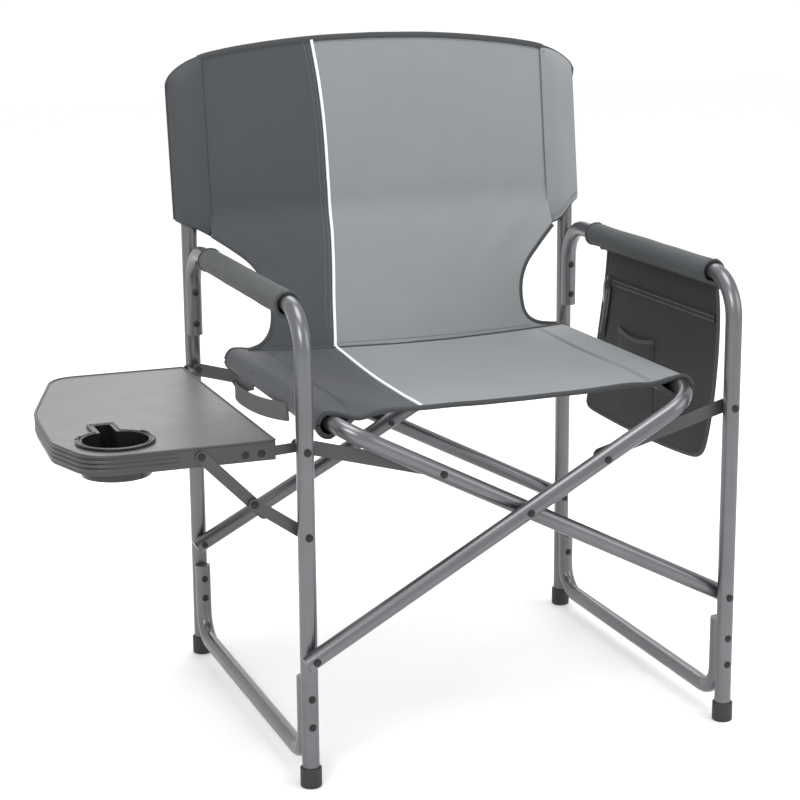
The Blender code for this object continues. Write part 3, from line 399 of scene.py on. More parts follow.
# ---------------------------------------------------------------- the cloth's shape


def upright_y(z):
    return LEG_Y + 0.026 * np.maximum(z - 0.640, 0.0) / 0.198


def back_y(z):
    """Y of the back cloth's middle: forward to the seat below the uprights' bend."""
    upper = upright_y(z) - 0.004
    lower = 0.1705 + (z - 0.4610) * 0.4460
    t = np.clip((z - 0.618) / 0.060, 0, 1)
    t = t * t * (3 - 2 * t)
    return lower * (1 - t) + upper * t


def back_top(x):
    return smooth(
        np.abs(x),
        [(0, 0.8935), (0.09, 0.8912), (0.173, 0.8842), (0.23, 0.8765), (0.261, 0.8700), (0.285, 0.8605),
         (0.300, 0.8505), (0.309, 0.8405), (0.3135, 0.8300)],
    )


LEFT_EDGE = [(0.461, -0.234), (0.466, -0.219), (0.474, -0.208), (0.486, -0.199), (0.502, -0.193),
             (0.520, -0.190), (0.538, -0.190), (0.555, -0.194), (0.570, -0.202), (0.585, -0.2135),
             (0.600, -0.2315), (0.614, -0.251), (0.622, -PANEL_X)]
RIGHT_EDGE = [(0.461, 0.244), (0.466, 0.219), (0.474, 0.203), (0.486, 0.1945), (0.502, 0.1925),
              (0.519, 0.1940), (0.540, 0.2005), (0.560, 0.2130), (0.578, 0.2310), (0.594, 0.2480),
              (0.607, PANEL_X)]
PIPING_X = [(0.461, -0.106), (0.52, -0.098), (0.58, -0.0885), (0.632, -0.0825), (0.70, -0.0815),
            (0.789, -0.0835), (0.84, -0.0880), (0.883, -0.0940), (0.90, -0.0965)]


def edge_x(z, hand):
    table = LEFT_EDGE if hand < 0 else RIGHT_EDGE
    inside = smooth(z, table)
    return np.where(np.asarray(z) >= table[-1][0], hand * PANEL_X, inside)


def back_point(x, z, out=0.0):
    """A point of the back cloth. Out is how far it stands towards the sitter."""
    spread = 1 - (x / 0.285) ** 2
    hang = np.clip((z - 0.50) / 0.20, 0, 1)
    y = back_y(z) + 0.0065 * spread * hang
    drift = noise.noise(Vector((x * 7.0, z * 5.0, 3.1)))
    y += 0.0016 * drift * np.clip((z - 0.47) / 0.05, 0, 1)
    pull = math.exp(-((z - 0.60) / 0.05) ** 2) * math.exp(-((abs(x) - 0.20) / 0.06) ** 2)
    y += 0.0013 * pull * math.sin((abs(x) - z) * 95.0)
    return np.array([x, y - out, z])


def seat_sag(y):
    return smooth(y, [(-0.21, 0.0105), (-0.10, 0.0150), (0.02, 0.0165), (0.11, 0.0115), (0.17, 0.0065)])


def seat_top(x, y):
    share = min(abs(x) / 0.2465, 1.0)
    z = 0.4680 - seat_sag(y) * (1 - share**2.4)
    front = math.exp(-(((y + 0.205) / 0.045) ** 2))
    seam = math.exp(-(((abs(x) - 0.208) / 0.024) ** 2))
    z -= (0.0085 if x < 0 else 0.0045) * front * seam
    return z + 0.0010 * noise.noise(Vector((x * 9.0, y * 6.0, 7.7))) * (1 - share**6)


def seat_piping(y):
    return smooth(y, [(-0.21, -0.1180), (-0.12, -0.1145), (-0.043, -0.1100), (0.06, -0.1065),
                      (0.132, -0.1055), (0.17, -0.1060)])


# ---------------------------------------------------------------- back


def back_levels():
    low_part = [0.4610, 0.4622, 0.4642, 0.467, 0.471, 0.476, 0.482, 0.489, 0.497]
    mid_part = list(np.arange(0.506, 0.640, 0.0085))
    high_part = list(np.linspace(0.645, 0.8935, 26))
    return low_part + mid_part + high_part


def level_z(nominal, x):
    """Rows are level up to 0.80, and then rise into the arch. The lowest rows meet the seat."""
    if nominal > 0.80:
        return 0.80 + (nominal - 0.80) * (back_top(x) - 0.80) / 0.0935
    if nominal < 0.50:
        share = (0.50 - nominal) / 0.039
        return nominal + (seat_top(x, 0.1675) + 0.0012 - 0.4610) * share
    return nominal


def back_cloth():
    build = Build()
    rows, uvs = [], []
    dark_columns, light_columns = 14, 28
    for nominal in back_levels():
        left = float(edge_x(nominal, -1))
        right = float(edge_x(nominal, 1))
        seam = float(smooth(nominal, PIPING_X))
        xs = list(np.linspace(left, seam, dark_columns + 1))
        xs += list(np.linspace(seam, right, light_columns + 1))[1:]
        row = [back_point(x, level_z(nominal, x)) for x in xs]
        rows.append(row)
        uvs += [(p[0], p[2]) for p in row]
    width = dark_columns + light_columns + 1
    build.grid(rows, lambda face: 0 if face[0] % width < dark_columns else 1, uvs=uvs)
    return build.done("back_cloth", [cloth_dark, cloth_light], CLOTH)


def back_edge_path(hand):
    """The cut-out edge on one side, from the sleeve down to the seat."""
    table = LEFT_EDGE if hand < 0 else RIGHT_EDGE
    points = []
    for z in np.linspace(table[-1][0], 0.4612, 60):
        x = float(edge_x(z, hand)) if z < table[-1][0] else hand * PANEL_X
        points.append(back_point(x, level_z(z, x)))
    return resample(points, 0.006)


def back_trim():
    """Binding along the top and the cut-outs, the piping, and the rows of stitches."""
    build = Build()
    xs = np.linspace(-PANEL_X - 0.002, PANEL_X + 0.002, 80)
    top = [back_point(x, back_top(x) - 0.0022) for x in xs]
    strip(build, top, (0, -1, 0.1), 0.0046, 0.0021, 0, 12, square=2.6)
    for hand in (-1, 1):
        path = back_edge_path(hand)
        strip(build, path, (0, -1, 0.44), 0.0030, 0.0019, 0, 10, square=2.6)
    zs = np.concatenate([np.linspace(0.4618, 0.64, 30), np.linspace(0.646, 0.8875, 36)])
    line = [back_point(float(smooth(z, PIPING_X)), z if z > 0.47 else level_z(z, -0.10), 0.0016) for z in zs]
    cord_mesh(build, resample(line, 0.006), 0.0022, 1, 10)
    trim = build.done("back_trim", [binding, piping])
    sewing = Build()
    for gap in SEAM_GAPS:
        path = [back_point(float(smooth(z, PIPING_X)) - gap, z, PROUD) for z in zs[4:]]
        stitches(sewing, path, (0, -1, 0.2), 1)
    for offset in (0.0058, 0.0078):
        for side in (1, -1):
            path = [back_point(x, back_top(x) - offset, side * PROUD) for x in xs]
            stitches(sewing, path, (0, -side, 0.1), 0)
    across = np.linspace(-0.20, 0.20, 40)
    path = [back_point(x, level_z(0.4660, x), PROUD) for x in across]
    stitches(sewing, path, (0, -1, 0.44), 0)
    sewn = sewing.done("back_stitches", [thread_dark, thread_light])
    return trim, sewn


def sleeve_loop():
    """The sleeve's outline about the upright's axis as (out, y), from the front seam to the back one."""
    seam = PANEL_X - 0.0015 - LEG_X
    r = 0.0152
    loop = []
    for share in np.linspace(0, 1, 9)[:-1]:
        loop.append((seam - seam * share, -0.0051 + (-r + 0.0051) * math.sin(share * math.pi / 2)))
    for angle in np.linspace(-90, 90, 21):
        a = math.radians(angle)
        reach = 0.0182 * math.cos(a) ** 0.8 if abs(angle) < 90 else 0.0
        loop.append((reach, r * math.sin(a)))
    for share in np.linspace(1, 0, 9)[1:]:
        loop.append((seam - seam * share, -0.0029 + (r + 0.0029) * math.sin(share * math.pi / 2)))
    return loop


def sleeve_low(out, hand):
    inner = 0.6215 if hand < 0 else 0.6070
    return smooth(out, [(-0.031, inner), (-0.012, inner + 0.011), (0.006, 0.6400), (0.019, 0.6460)])


def back_sleeve(label, hand, cloth):
    loop = sleeve_loop()
    build = Build()
    rows = []
    steps = 34
    for step in range(steps + 1):
        row = []
        for out, y in loop:
            x = LEG_X + out
            top = float(back_top(x)) - 0.0010
            start = float(sleeve_low(out, hand))
            z = start + (top - start) * (step / steps)
            taper = 1.0
            if z > 0.815:
                share = min((z - 0.815) / max(top - 0.815, 1e-6), 1.0)
                taper = math.sqrt(max(1 - share**2.6, 0.0))
            middle = -0.0040
            offset = middle + (y - middle) * taper
            wave = 0.0009 * noise.noise(Vector((x * 30 * hand, z * 16, y * 40 + hand)))
            squeeze = 1 - 0.006 * (1 - taper)
            row.append((hand * (LEG_X + (out + wave) * squeeze), float(upright_y(z)) + offset + wave, z))
        rows.append(row)
    rows = np.asarray(rows)
    build.grid(rows, 0)
    sleeve = build.done(f"back_{label}_sleeve_cloth", [cloth], 0.0014, 1.0 if hand > 0 else -1.0)
    trim = Build()
    strip(trim, rows[0], (0, 0, 1), 0.0014, 0.0024, 0, 8)
    outer = [(hand * (LEG_X + 0.0185), float(upright_y(z)) + 0.0002, z)
             for z in np.linspace(0.646, 0.822, 34)]
    corner = []
    for x in np.linspace(0.3115, PANEL_X - 0.003, 26):
        z = float(back_top(x)) - 0.0022
        corner.append((hand * x, float(upright_y(z)) - 0.0040, z))
    strip(trim, resample(outer + corner, 0.005), (0, -1, 0.1), 0.0034, 0.0021, 0, 10, square=2.6)
    edge = trim.done(f"back_{label}_binding", [binding])
    sewing = Build()
    low_z = 0.6780 if hand < 0 else 0.6640
    for x in (PANEL_X - 0.0035, PANEL_X + 0.0025):
        for front in (1, -1):
            path = []
            for z in np.linspace(0.864, low_z, 40):
                if x < PANEL_X:
                    y = float(back_point(hand * x, z)[1]) - front * 0.0018
                else:
                    y = float(upright_y(z)) - 0.004 - front * (0.0034 if front > 0 else 0.0036)
                path.append((hand * x, y, z))
            stitches(sewing, path, (0, -front, 0), 0)
    for share in (0.006, 0.009):
        path = [(hand * (LEG_X + o), float(upright_y(0.64)) + y - 0.0006, float(sleeve_low(o, hand)) + share)
                for o, y in loop[:14]]
        stitches(sewing, path, (0, -1, 0), 0)
    sewn = sewing.done(f"back_{label}_stitches", [thread_dark])
    return sleeve, edge, sewn


# ---------------------------------------------------------------- seat


def seat_profile(y):
    """The seat cloth's run across the chair: round the left rail, over the seat, round the right rail."""
    cx, cz, r = 0.2467, 0.4527, 0.0153
    under = 0.2120
    points = [(-under, seat_top(under, y) - 0.0021)]
    for share in (0.35, 0.7):
        points.append((-under - (cx - under) * share, points[0][1] + (cz - r - points[0][1]) * share**0.8))
    for angle in np.linspace(-85, -262, 22):
        a = math.radians(angle)
        points.append((-cx + r * math.cos(a), cz + r * math.sin(a)))
    seam = float(seat_piping(y))
    left = len(points)
    xs = list(np.linspace(-cx + 0.006, seam, 15)) + list(np.linspace(seam, cx - 0.006, 33))[1:]
    points += [(x, seat_top(x, y)) for x in xs]
    split = left + 14
    for angle in np.linspace(82, -95, 22):
        a = math.radians(angle)
        points.append((cx + r * math.cos(a), cz + r * math.sin(a)))
    for share in (0.7, 0.35, 0.0):
        z0 = seat_top(under, y) - 0.0021
        points.append((under + (cx - under) * share, z0 + (cz - r - z0) * share**0.8))
    return points, split


def front_bow(x):
    """How far behind the front line the edge lies. The left sleeve reaches in front of it."""
    bow = 0.0055 * (1 - min(abs(x) / 0.25, 1.0) ** 2)
    reach = smooth(x, [(-0.30, 1.0), (-0.245, 1.0), (-0.16, 0.45), (-0.05, 0.0), (0.3, 0.0)])
    return bow - 0.0120 * float(reach)


def rear_reach(x):
    """How much further back the left sleeve reaches than the rest of the seat."""
    reach = smooth(x, [(-0.30, 1.0), (-0.236, 1.0), (-0.205, 0.15), (-0.17, 0.0), (0.3, 0.0)])
    return 0.0190 * float(reach)


def seat_row(y):
    profile, split = seat_profile(y)
    row = []
    front = max(0.0, (-y - 0.15) / 0.053)
    for x, z in profile:
        bow = front_bow(x) * front + rear_reach(x) * max(0.0, (y - 0.10) / 0.0685)
        ripple = 0.0007 * noise.noise(Vector((x * 22, y * 12, z * 20)))
        row.append((x, y + bow, z + ripple * (abs(x) < 0.24)))
    return row, split


SEAT_FRONT, SEAT_REAR = -0.2035, 0.1685


def seat_cloth():
    build = Build()
    stations = np.linspace(SEAT_FRONT, SEAT_REAR, 40)
    made = [seat_row(y) for y in stations]
    split = made[0][1]
    rows = [row for row, _ in made]
    width = len(rows[0])
    # left of the piping is the dark panel; from the right rail's lower side round to the tail under the seat,
    # the light cloth is drawn in the dark cloth as painted shade under the rail
    painted_shade_from = width - 12
    build.grid(rows, lambda face: 0 if face[0] % width < split or face[0] % width >= painted_shade_from else 1)
    cloth = build.done("seat_cloth", [cloth_dark, cloth_light], CLOTH)
    trim = Build()
    for y, wide in ((SEAT_FRONT, 0.0034), (SEAT_REAR, 0.0026)):
        edge, _ = seat_row(y)
        strip(trim, edge, (0, 0, 1), 0.0024, wide, 0, 10, square=2.6)
    ys = np.linspace(SEAT_FRONT + 0.004, SEAT_REAR - 0.001, 60)
    line = []
    for y in ys:
        x = float(seat_piping(y))
        bow = front_bow(x) * max(0.0, (-y - 0.15) / 0.053)
        line.append((x, y + bow, seat_top(x, y) + 0.0015))
    cord_mesh(trim, resample(line, 0.005), 0.0022, 1, 10)
    edge = trim.done("seat_trim", [binding, piping])
    sewing = Build()
    for gap in SEAM_GAPS:
        path = [(p[0] - gap, p[1], seat_top(p[0] - gap, p[1]) + PROUD) for p in line]
        stitches(sewing, path, (0, 0, 1), 1)
    for x in (-0.2100, -0.2060, 0.2060, 0.2100):
        path = [(x, y, seat_top(x, y) + PROUD) for y in np.linspace(-0.190, 0.160, 60)]
        stitches(sewing, path, (0, 0, 1), 0)
    for inset in (0.0060, 0.0085):
        path = []
        for x in np.linspace(-0.236, 0.236, 90):
            y = SEAT_FRONT + inset
            path.append((x, y + front_bow(x), seat_top(x, y) + PROUD))
        stitches(sewing, path, (0, 0, 1), 0)
    sewn = sewing.done("seat_stitches", [thread_dark, thread_light])
    return cloth, edge, sewn


# ---------------------------------------------------------------- arms, pocket, strap


def arm_pad(label, hand, front, rear, cloth, tail=None):
    """A padded sleeve round the arm tube. Tail carries it down to the pocket's top edge."""
    x0 = hand * LEG_X
    build = Build()
    rows = []
    stations = np.linspace(front, rear, 44)
    for y in stations:
        row = []
        end = min(y - front, rear - y)
        puff = 1 - 0.05 * math.exp(-((end / 0.010) ** 2))
        if tail is None:
            angles = np.linspace(-92, 268, 37)
        else:
            angles = np.linspace(-8, 236, 27)
            row.append((tail[0] + 0.0006, y, tail[1]))
            row.append((tail[0] + 0.0030, y, tail[1] + 0.010))
        for angle in angles:
            a = math.radians(angle)
            wobble = 0.0006 * noise.noise(Vector((math.cos(a) * 1.5 + hand * 5, y * 22, math.sin(a) * 1.5)))
            r = 0.0163 * puff + wobble
            row.append((x0 + r * math.cos(a), y, ARM_Z - 0.0018 + r * math.sin(a)))
        if tail is not None:
            row.append((tail[0] - 0.0046, y, tail[1] + 0.0055))
            row.append((tail[0] - 0.0012, y, tail[1]))
        rows.append(row)
    build.grid(rows, 0)
    pad = build.done(f"{label}_arm_pad", [cloth], 0.0026, 1.0)
    trim = Build()
    for index in (0, -1):
        strip(trim, rows[index], (0, 1, 0), 0.0019, 0.0016, 0, 8)
    if tail is None:
        seam = [(x0 + 0.0004, y, ARM_Z - 0.0186) for y in stations]
        cord_mesh(trim, seam, 0.0011, 0, 6)
    edge = trim.done(f"{label}_arm_pad_edges", [binding])
    sewing = Build()
    for at in (front + 0.006, rear - 0.006):
        ring = []
        for angle in np.linspace(-60, 236, 40):
            a = math.radians(angle)
            ring.append((x0 + 0.0178 * math.cos(a), at, ARM_Z - 0.0018 + 0.0178 * math.sin(a)))
        for first, second in zip(ring[::2], ring[1::2]):
            way = unit(np.array([first[0] - x0, 0, first[2] - ARM_Z + 0.0018]))
            stitches(sewing, [first, second], tuple(way), 0, 0.0030, 0.0020, start=0.0001)
    sewn = sewing.done(f"{label}_arm_pad_stitches", [thread_dark])
    return pad, edge, sewn


POCKET_MID = 0.3045
POCKET_OUTLINE = [
    (0.131, 0.584), (0.1335, 0.560), (0.138, 0.535), (0.145, 0.505), (0.153, 0.473), (0.164, 0.432),
    (0.176, 0.392), (0.188, 0.356), (0.1955, 0.341), (0.190, 0.3345), (0.170, 0.3325), (0.110, 0.3310),
    (0.018, 0.3300), (-0.060, 0.3325), (-0.120, 0.3360), (-0.146, 0.3395), (-0.160, 0.3475), (-0.168, 0.360),
    (-0.176, 0.385), (-0.1835, 0.415), (-0.1895, 0.450), (-0.1945, 0.495), (-0.1955, 0.535), (-0.1935, 0.560),
    (-0.1880, 0.584),
]


def rounded(outline, rounds=2):
    """Chaikin corner cutting, which keeps the two ends of the open top edge."""
    points = [np.asarray(p, float) for p in outline]
    for _ in range(rounds):
        new = [points[0]]
        for a, b in zip(points, points[1:]):
            new += [a * 0.75 + b * 0.25, a * 0.25 + b * 0.75]
        new.append(points[-1])
        points = new
    return points


def pocket():
    """Two layers of cloth sewn along their edge, slack and a little full low down."""
    edge = rounded(POCKET_OUTLINE)
    top = [np.array([y, 0.584]) for y in np.linspace(-0.186, 0.129, 60)]
    loop = edge + top
    centre = np.array([0.0, 0.440])
    build = Build()
    rings = 20

    def layer(side, full):
        rows, uvs = [], []
        for ring in range(rings + 1):
            share = ring / rings
            row = []
            for p in loop:
                q = centre + (p - centre) * (1 - share)
                low_full = math.exp(-(((q[1] - 0.405) / 0.085) ** 2)) * math.exp(-((q[0] / 0.135) ** 2))
                rise = 1 - (1 - share) ** 4
                crease = noise.noise(Vector((q[0] * 14, q[1] * 9, side * 4.0)))
                slump = noise.noise(Vector((q[0] * 5 + q[1] * 9, q[1] * 4, side * 9.0)))
                out = 0.0008 + rise * (full * low_full + 0.0009 * crease + 0.0015 * slump + 0.0012)
                row.append((POCKET_MID + side * out, q[0], q[1]))
                uvs.append((q[0], q[1]))
            rows.append(row)
        build.grid(rows, 0, close=True, uvs=uvs)

    layer(-1, 0.0030)
    layer(1, 0.0052)
    bag = build.done("pocket_cloth", [cloth_charcoal])
    trim = Build()
    rim = [(POCKET_MID, p[0], p[1]) for p in edge]
    strip(trim, resample(rim, 0.006), (1, 0, 0), 0.0030, 0.0021, 0, 10, square=2.6)
    # the outer layer's top hem, with two rows of light stitches
    hem_z = 0.5375
    inner = POCKET_MID - 0.0030
    hem = [(inner, y, hem_z) for y in np.linspace(-0.1900, 0.112, 50)]
    strip(trim, hem, (1, 0, 0), 0.0062, 0.0011, 1, 10, square=3.0)
    hem = [(POCKET_MID + 0.0034, y, hem_z) for y in np.linspace(-0.1900, 0.128, 50)]
    strip(trim, hem, (1, 0, 0), 0.0062, 0.0010, 1, 10, square=3.0)
    sewing = Build()
    for z in (hem_z - 0.0030, hem_z + 0.0030):
        stitches(sewing, [(inner - 0.0012, y, z) for y in (0.110, -0.192)], (-1, 0, 0), 1)
        stitches(sewing, [(POCKET_MID + 0.0046, y, z) for y in (0.126, -0.192)], (1, 0, 0), 1)
    # zip tape down the rear edge
    tape = [(inner - 0.0004, 0.1205, 0.5440), (inner - 0.0006, 0.1240, 0.520),
            (inner - 0.0008, 0.1330, 0.485), (inner - 0.0008, 0.1425, 0.452)]
    tape = resample(tape, 0.004)
    strip(trim, tape, (1, 0, 0), 0.0085, 0.0008, 2, 10, square=4.0)
    box_faces = [[0, 1, 3, 2], [4, 6, 7, 5], [0, 4, 5, 1], [2, 3, 7, 6], [0, 2, 6, 4], [1, 5, 7, 3]]
    teeth = Build()
    for index, spot in enumerate(resample(tape, 0.0022)):
        hand = 1 if index % 2 else -1
        centre = spot + np.array([-0.0012, hand * 0.0009, 0.0])
        corners = [centre + np.array([a * 0.0007, b * 0.0013, c * 0.0007])
                   for a in (-1, 1) for b in (-1, 1) for c in (-1, 1)]
        teeth.add(corners, box_faces)
    zip_row = teeth.done("zip_teeth", [zip_black])
    # a small inner pocket with an elastic mouth, low on the side that faces the seat
    patch = Build()
    rows = []
    for z in np.linspace(0.372, 0.474, 16):
        row = []
        for y in np.linspace(-0.024, 0.086, 20):
            share = (y + 0.024) / 0.110
            bulge = 0.0030 * math.sin(math.pi * share) ** 0.6 * (0.35 + 0.65 * (z - 0.372) / 0.102)
            sag = 0.007 * math.sin(math.pi * share) * (z - 0.372) / 0.102
            row.append((POCKET_MID - 0.0044 - bulge, y, z - sag))
        rows.append(row)
    patch.grid(rows, 0)
    inner_pocket = patch.done("inner_pocket_cloth", [cloth_charcoal], 0.0012)
    strip(trim, rows[-1], (1, 0, 0), 0.0032, 0.0012, 0, 10)
    for column in (0, -1):
        side = [row[column] for row in rows]
        stitches(sewing, [side[0], side[-1]], (-1, 0, 0), 0)
    edge_piece = trim.done("pocket_trim", [binding, cloth_charcoal, zip_black])
    sewn = sewing.done("pocket_stitches", [thread_dark, thread_light])
    return bag, edge_piece, sewn, zip_row, inner_pocket


def zip_pull():
    """The slider's bridge and its hanging pull tab."""
    low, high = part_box("zip_slider")
    low, high = np.array(low) - SHIFT, np.array(high) - SHIFT
    middle = (low + high) / 2
    build = Build()
    face = low[0] - 0.0002
    strip(build, [(face, middle[1], high[2] - 0.001), (face - 0.0012, middle[1], middle[2]),
                  (face, middle[1], low[2] + 0.001)], (1, 0, 0), 0.0016, 0.0006, 0, 8)
    tab = [(face - 0.0012, middle[1], middle[2] - 0.001),
           (face - 0.0014, middle[1] + 0.0004, middle[2] - 0.010),
           (face - 0.0012, middle[1] + 0.0010, middle[2] - 0.026)]
    strip(build, resample(tab, 0.002), (1, 0, 0), 0.0028, 0.0007, 0, 10, square=3.0)
    return build.done("zip_pull", [zip_steel])


def carry_strap():
    """Webbing sewn under the left seat sleeve, doubled back on itself at the rear."""
    line = [
        (-0.2625, -0.098, 0.4440), (-0.2655, -0.075, 0.4400), (-0.2680, -0.030, 0.4335),
        (-0.2690, 0.020, 0.4275), (-0.2690, 0.070, 0.4235), (-0.2685, 0.110, 0.4225),
        (-0.2670, 0.1275, 0.4245), (-0.2640, 0.1310, 0.4270), (-0.2625, 0.1260, 0.4300),
        (-0.2620, 0.105, 0.4370), (-0.2615, 0.080, 0.4450), (-0.2612, 0.062, 0.4500),
    ]
    t = np.linspace(0, len(line) - 1, 90)
    path = np.stack([smooth(t, list(enumerate([p[k] for p in line]))) for k in range(3)], axis=1)
    path = resample(path, 0.003)
    build = Build()
    tangents = unit(np.gradient(path, axis=0))
    up = np.array([0, 0, 1.0])
    normals = np.cross(tangents, up)
    strip(build, path, unit(normals), 0.0125, 0.0009, 0, 12, square=5.0)
    strap = build.done("carry_strap_webbing", [webbing])
    sewing = Build()
    for y in (-0.096, -0.088, -0.080):
        stitches(sewing, [(-0.2672, y, 0.4520), (-0.2672, y, 0.4310)], (-1, 0, 0), 0)
    sewn = sewing.done("carry_strap_stitches", [thread_light])
    return strap, sewn


# ---------------------------------------------------------------- table trims and rivet heads


def table_outline(inset):
    """The table's edge from its inner rear corner round to the inner front, with rounded corners."""
    outer = -0.578 + inset
    corners = [(-0.323, TABLE_REAR - inset), (-0.508 + 0.6 * inset, TABLE_REAR - inset), (outer + 0.008, 0.0),
               (outer, -0.150), (outer + 0.028, TABLE_FRONT + inset), (-0.323, TABLE_FRONT + inset)]
    bends = [0.045, 0.20, 0.060, 0.045]
    points = [np.array(corners[0])]
    for before, corner, after, bend in zip(corners, corners[1:], corners[2:], bends):
        before, corner, after = (np.array(p) for p in (before, corner, after))
        incoming, outgoing = unit(corner - before), unit(after - corner)
        turn = math.acos(max(-1.0, min(1.0, float(incoming @ outgoing))))
        reach = bend * math.tan(turn / 2)
        start, end = corner - incoming * reach, corner + outgoing * reach
        for share in np.linspace(0, 1, 11):
            points.append(start * (1 - share) ** 2 + 2 * corner * share * (1 - share) + end * share**2)
    points.append(np.array(corners[-1]))
    return points


def table_trims():
    """A rolled bead round the top's edge and the ribs on the rim's outer side."""
    build = Build()
    edge = table_outline(0.0002)
    path = [(p[0], p[1], 0.4458) for p in edge]
    path += [(-0.3235, y, 0.4458) for y in np.linspace(-0.230, 0.190, 12)]
    closed = resample(path + [path[0]], 0.008)[:-1]
    strip(build, closed, (0, 0, 1), 0.0019, 0.0017, 0, 10, closed=True)
    ribs = [p for p in resample([(q[0], q[1], 0) for q in table_outline(-0.0004)], 0.008) if p[0] < -0.436]
    for z in (0.4395, 0.4340, 0.4285):
        strip(build, [(p[0], p[1], z) for p in ribs], (0, 0, 1), 0.0009, 0.0020, 0, 8)
    return build.done("table_bead_and_ribs", [rim_paint])


def about_cup(radius, angle, z):
    return np.array([CUP_X + radius * math.cos(angle), CUP_Y + radius * math.sin(angle), z])


def cup_bead():
    """The rounded lip of the cup's flange, and its two small clips."""
    lip, lip_z = 0.0036, 0.4487
    radius, half, end = CUP_R + lip, 0.0125 + lip, CUP_Y + 0.080 + lip
    gap = math.asin(half / radius)
    loop = [(CUP_X + half, end, lip_z), (CUP_X - half, end, lip_z)]
    for step in range(49):
        loop.append(about_cup(radius, math.pi / 2 + gap + (math.tau - 2 * gap) * step / 48, lip_z))
    build = Build()
    path = resample(loop + loop[:1], 0.004)[:-1]
    strip(build, path, (0, 0, 1), 0.0021, 0.0013, 0, 10, closed=True)
    turns = np.linspace(math.pi / 2 + 0.36, math.pi / 2 + math.tau - 0.36, 60)
    strip(build, [about_cup(0.0424, a, 0.4486) for a in turns], (0, 0, 1), 0.0010, 0.0009, 0, 8)
    for angle in (math.radians(28), math.radians(152)):
        spot = about_cup(0.0468, angle, 0.4495)
        along = np.array([-math.sin(angle), math.cos(angle), 0])
        clip = [spot - along * 0.007, spot + [0, 0, 0.0012], spot + along * 0.007]
        strip(build, clip, (0, 0, 1), 0.0020, 0.0012)
    return build.done("cup_lip", [cup_black])


def rivet_heads():
    """The domed heads of the fixed rivets, one piece for each body."""
    made = {}
    for label, hand in (("left_frame", -1), ("right_frame", 1)):
        build = Build()
        x = hand * LEG_X
        for z in (0.118, 0.081):
            dome(build, (x, -LEG_Y - TUBE_R + 0.0003, z), (0, -1, 0))
            dome(build, (x, LEG_Y + TUBE_R - 0.0003, z), (0, 1, 0))
        for z in (0.121, 0.092):
            dome(build, (x, LEG_Y - 0.017 - TUBE_R + 0.0003, z), (0, -1, 0))
            dome(build, (x, -LEG_Y + 0.017 + TUBE_R - 0.0003, z), (0, 1, 0))
        for z in (0.545, 0.500):
            dome(build, (x, LEG_Y - 0.016 - TUBE_R + 0.0003, z), (0, -1, 0))
            dome(build, (x, LEG_Y + TUBE_R - 0.0003, z), (0, 1, 0))
        made[label] = build.done(f"{label}_rivet_heads", [rivet_paint])
    build = Build()
    for x in (-0.361, -0.341):
        dome(build, (x, TABLE_FRONT, RIM_RIVET_Z), (0, -1, 0), 0.0048, 0.0016)
        dome(build, (x, TABLE_REAR, RIM_RIVET_Z), (0, 1, 0), 0.0048, 0.0016)
    made["side_table"] = build.done("table_rivet_heads", [rivet_paint])
    for hand in ("left", "right"):
        build = Build()
        low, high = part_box(f"{hand}_front_bar_rivet")
        x, z = (low.x + high.x) / 2 - SHIFT[0], (low.z + high.z) / 2
        for end, side in (("front", -1), ("rear", 1)):
            low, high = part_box(f"{hand}_{end}_link")
            y = (high.y if side < 0 else low.y) - SHIFT[1]
            dome(build, (x, y, z), (0, -side, 0), 0.0050, 0.0020)
        made[f"{hand}_links"] = build.done(f"{hand}_link_end_heads", [rivet_paint])
    return made


def shade_round(obj):
    """Shades a CAD node round over its shallow edges. It drops the imported normals and moves no point."""
    if "custom_normal" in obj.data.attributes:
        obj.data.attributes.remove(obj.data.attributes["custom_normal"])
    obj.data.shade_smooth()
    weld = obj.modifiers.new("one skin", "WELD")
    weld.merge_threshold = 0.000002
    split = obj.modifiers.new("sharp edges", "EDGE_SPLIT")
    split.split_angle = math.radians(34)


# ---------------------------------------------------------------- put together

PAINTS = {
    "frame_paint": tube_paint,
    "bracket_paint": flat_paint,
    "rivet_black": rivet_paint,
    "foot_rubber": rubber,
    "table_grey": table_top,
    "table_rim": rim_paint,
    "cup_plastic": cup_black,
    "zip_metal": zip_steel,
}
slots = {part["node"]: part["material_slot"] for part in frame["record"]["subparts"]}
for name, obj in frame["nodes"].items():
    if slots[name] in PAINTS:
        shade_round(obj)
        obj.data.materials.clear()
        obj.data.materials.append(PAINTS[slots[name]])

cloth = back_cloth()
trim, sewn = back_trim()
for piece in (cloth, trim, sewn):
    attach(piece, "left_frame")
    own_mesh(piece)
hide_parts("back_panel")

SIDES = (("left", -1, "left_frame", cloth_dark), ("right", 1, "right_frame", cloth_light))
for label, hand, body, paint in SIDES:
    sleeve, edge, sewn = back_sleeve(label, hand, paint)
    for piece in (sleeve, edge, sewn):
        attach(piece, body)
    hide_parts(f"back_{label}_sleeve")

cloth, trim, sewn = seat_cloth()
for piece in (cloth, trim, sewn):
    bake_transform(piece)
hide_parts("seat_panel", "seat_left_sleeve", "seat_right_sleeve")

pad, edge, sewn = arm_pad("left", -1, -0.200, 0.150, cloth_sleeve)
for piece in (pad, edge, sewn):
    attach(piece, "left_frame")
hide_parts("left_arm_sleeve")

pad, edge, sewn = arm_pad("right", 1, -0.200, 0.150, cloth_sleeve, tail=(POCKET_MID, 0.5800))
bag, bag_trim, bag_sewn, zip_row, inner_pocket = pocket()
for piece in (pad, edge, sewn, bag, bag_trim, bag_sewn, zip_row, inner_pocket):
    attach(piece, "right_frame")
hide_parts("right_arm_sleeve")
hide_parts("side_pocket")
pull = zip_pull()
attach(pull, "zip_slider")

strap, sewn = carry_strap()
for piece in (strap, sewn):
    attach(piece, "seat_frame_b")
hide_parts("carry_strap")

for body, heads in rivet_heads().items():
    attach(heads, body)
for piece, slot in ((table_trims(), "table_rim"), (cup_bead(), "cup_plastic")):
    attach(piece, "side_table")


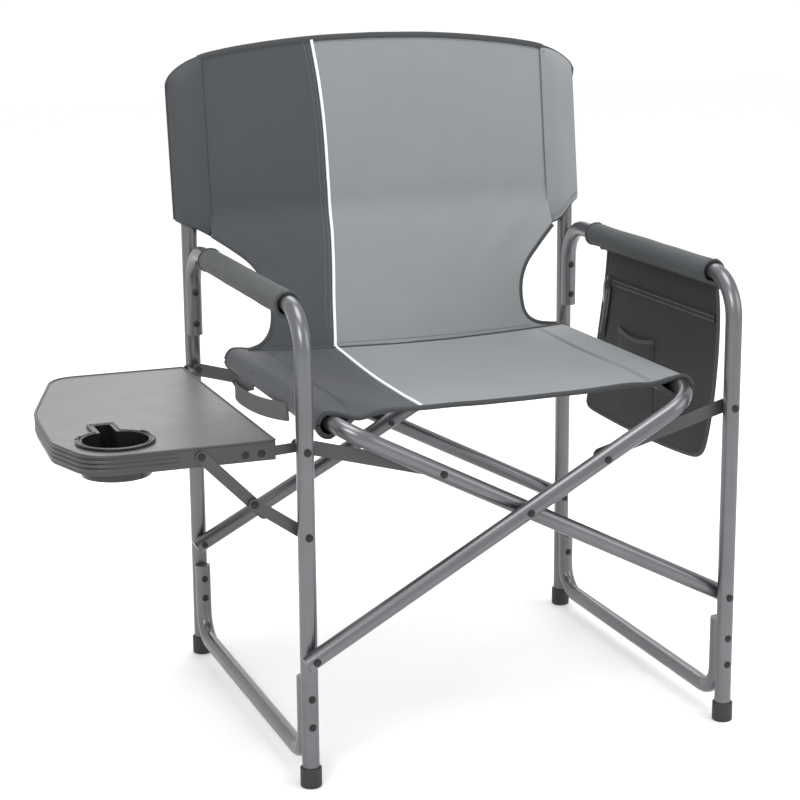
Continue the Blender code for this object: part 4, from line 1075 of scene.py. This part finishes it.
# ---------------------------------------------------------------- floor, light, camera


def floor():
    data = bpy.data.meshes.new("floor")
    data.from_pydata([(-6, -6, 0), (6, -6, 0), (6, 9, 0), (-6, 9, 0)], [], [[0, 1, 2, 3]])
    made = bpy.data.objects.new("floor", data)
    bpy.context.scene.collection.objects.link(made)
    paint = plastic("floor_pale", (0.94, 0.94, 0.94), 0.85, 30.0, 0.02, 0.0, 0.01)
    data.materials.append(paint)


def area_light(name, at, target, size, power):
    data = bpy.data.lights.new(name, "AREA")
    data.shape = "DISK"
    data.size = size
    data.energy = power
    lamp = bpy.data.objects.new(name, data)
    bpy.context.scene.collection.objects.link(lamp)
    lamp.location = at
    way = Vector(target) - Vector(at)
    lamp.rotation_euler = way.to_track_quat("-Z", "Y").to_euler()


def camera():
    """The photo's own view, solved from the chair's usual sizes."""
    yaw, pitch, roll = math.radians(20.598), math.radians(13.4855), math.radians(-0.472)
    stand = np.array([-1.0233, -2.5301, 1.0681])
    forward = Vector((math.sin(yaw) * math.cos(pitch), math.cos(yaw) * math.cos(pitch), -math.sin(pitch)))
    right = Vector((math.cos(yaw), -math.sin(yaw), 0.0))
    up = right.cross(forward)
    side = right * math.cos(roll) + up * math.sin(roll)
    top = up * math.cos(roll) - right * math.sin(roll)
    data = bpy.data.cameras.new("camera")
    data.lens = 92.12
    data.sensor_width = 36.0
    made = bpy.data.objects.new("camera", data)
    bpy.context.scene.collection.objects.link(made)
    turn = np.array([side, top, -forward]).T
    rows = [[*turn[k], 0.0] for k in range(3)]
    place = stand + SHIFT
    for k in range(3):
        rows[k][3] = place[k]
    made.matrix_world = Matrix([*rows, [0.0, 0.0, 0.0, 1.0]])
    bpy.context.scene.camera = made


floor()
camera()
area_light("key", (-1.9, -2.6, 2.7), (0, 0, 0.5), 1.8, 56)
area_light("fill", (2.6, -2.0, 1.7), (0, 0, 0.5), 2.2, 22)
area_light("back", (0.8, 2.6, 2.6), (0, 0, 0.6), 2.0, 30)
area_light("top", (0.2, -0.3, 3.0), (0, 0, 0.4), 1.6, 34)
world = bpy.data.worlds.new("studio")
world.use_nodes = True
world.node_tree.nodes["Background"].inputs["Color"].default_value = (1.0, 1.0, 1.0, 1)
world.node_tree.nodes["Background"].inputs["Strength"].default_value = 1.05
bpy.context.scene.world = world
bpy.context.scene.view_settings.view_transform = "Standard"
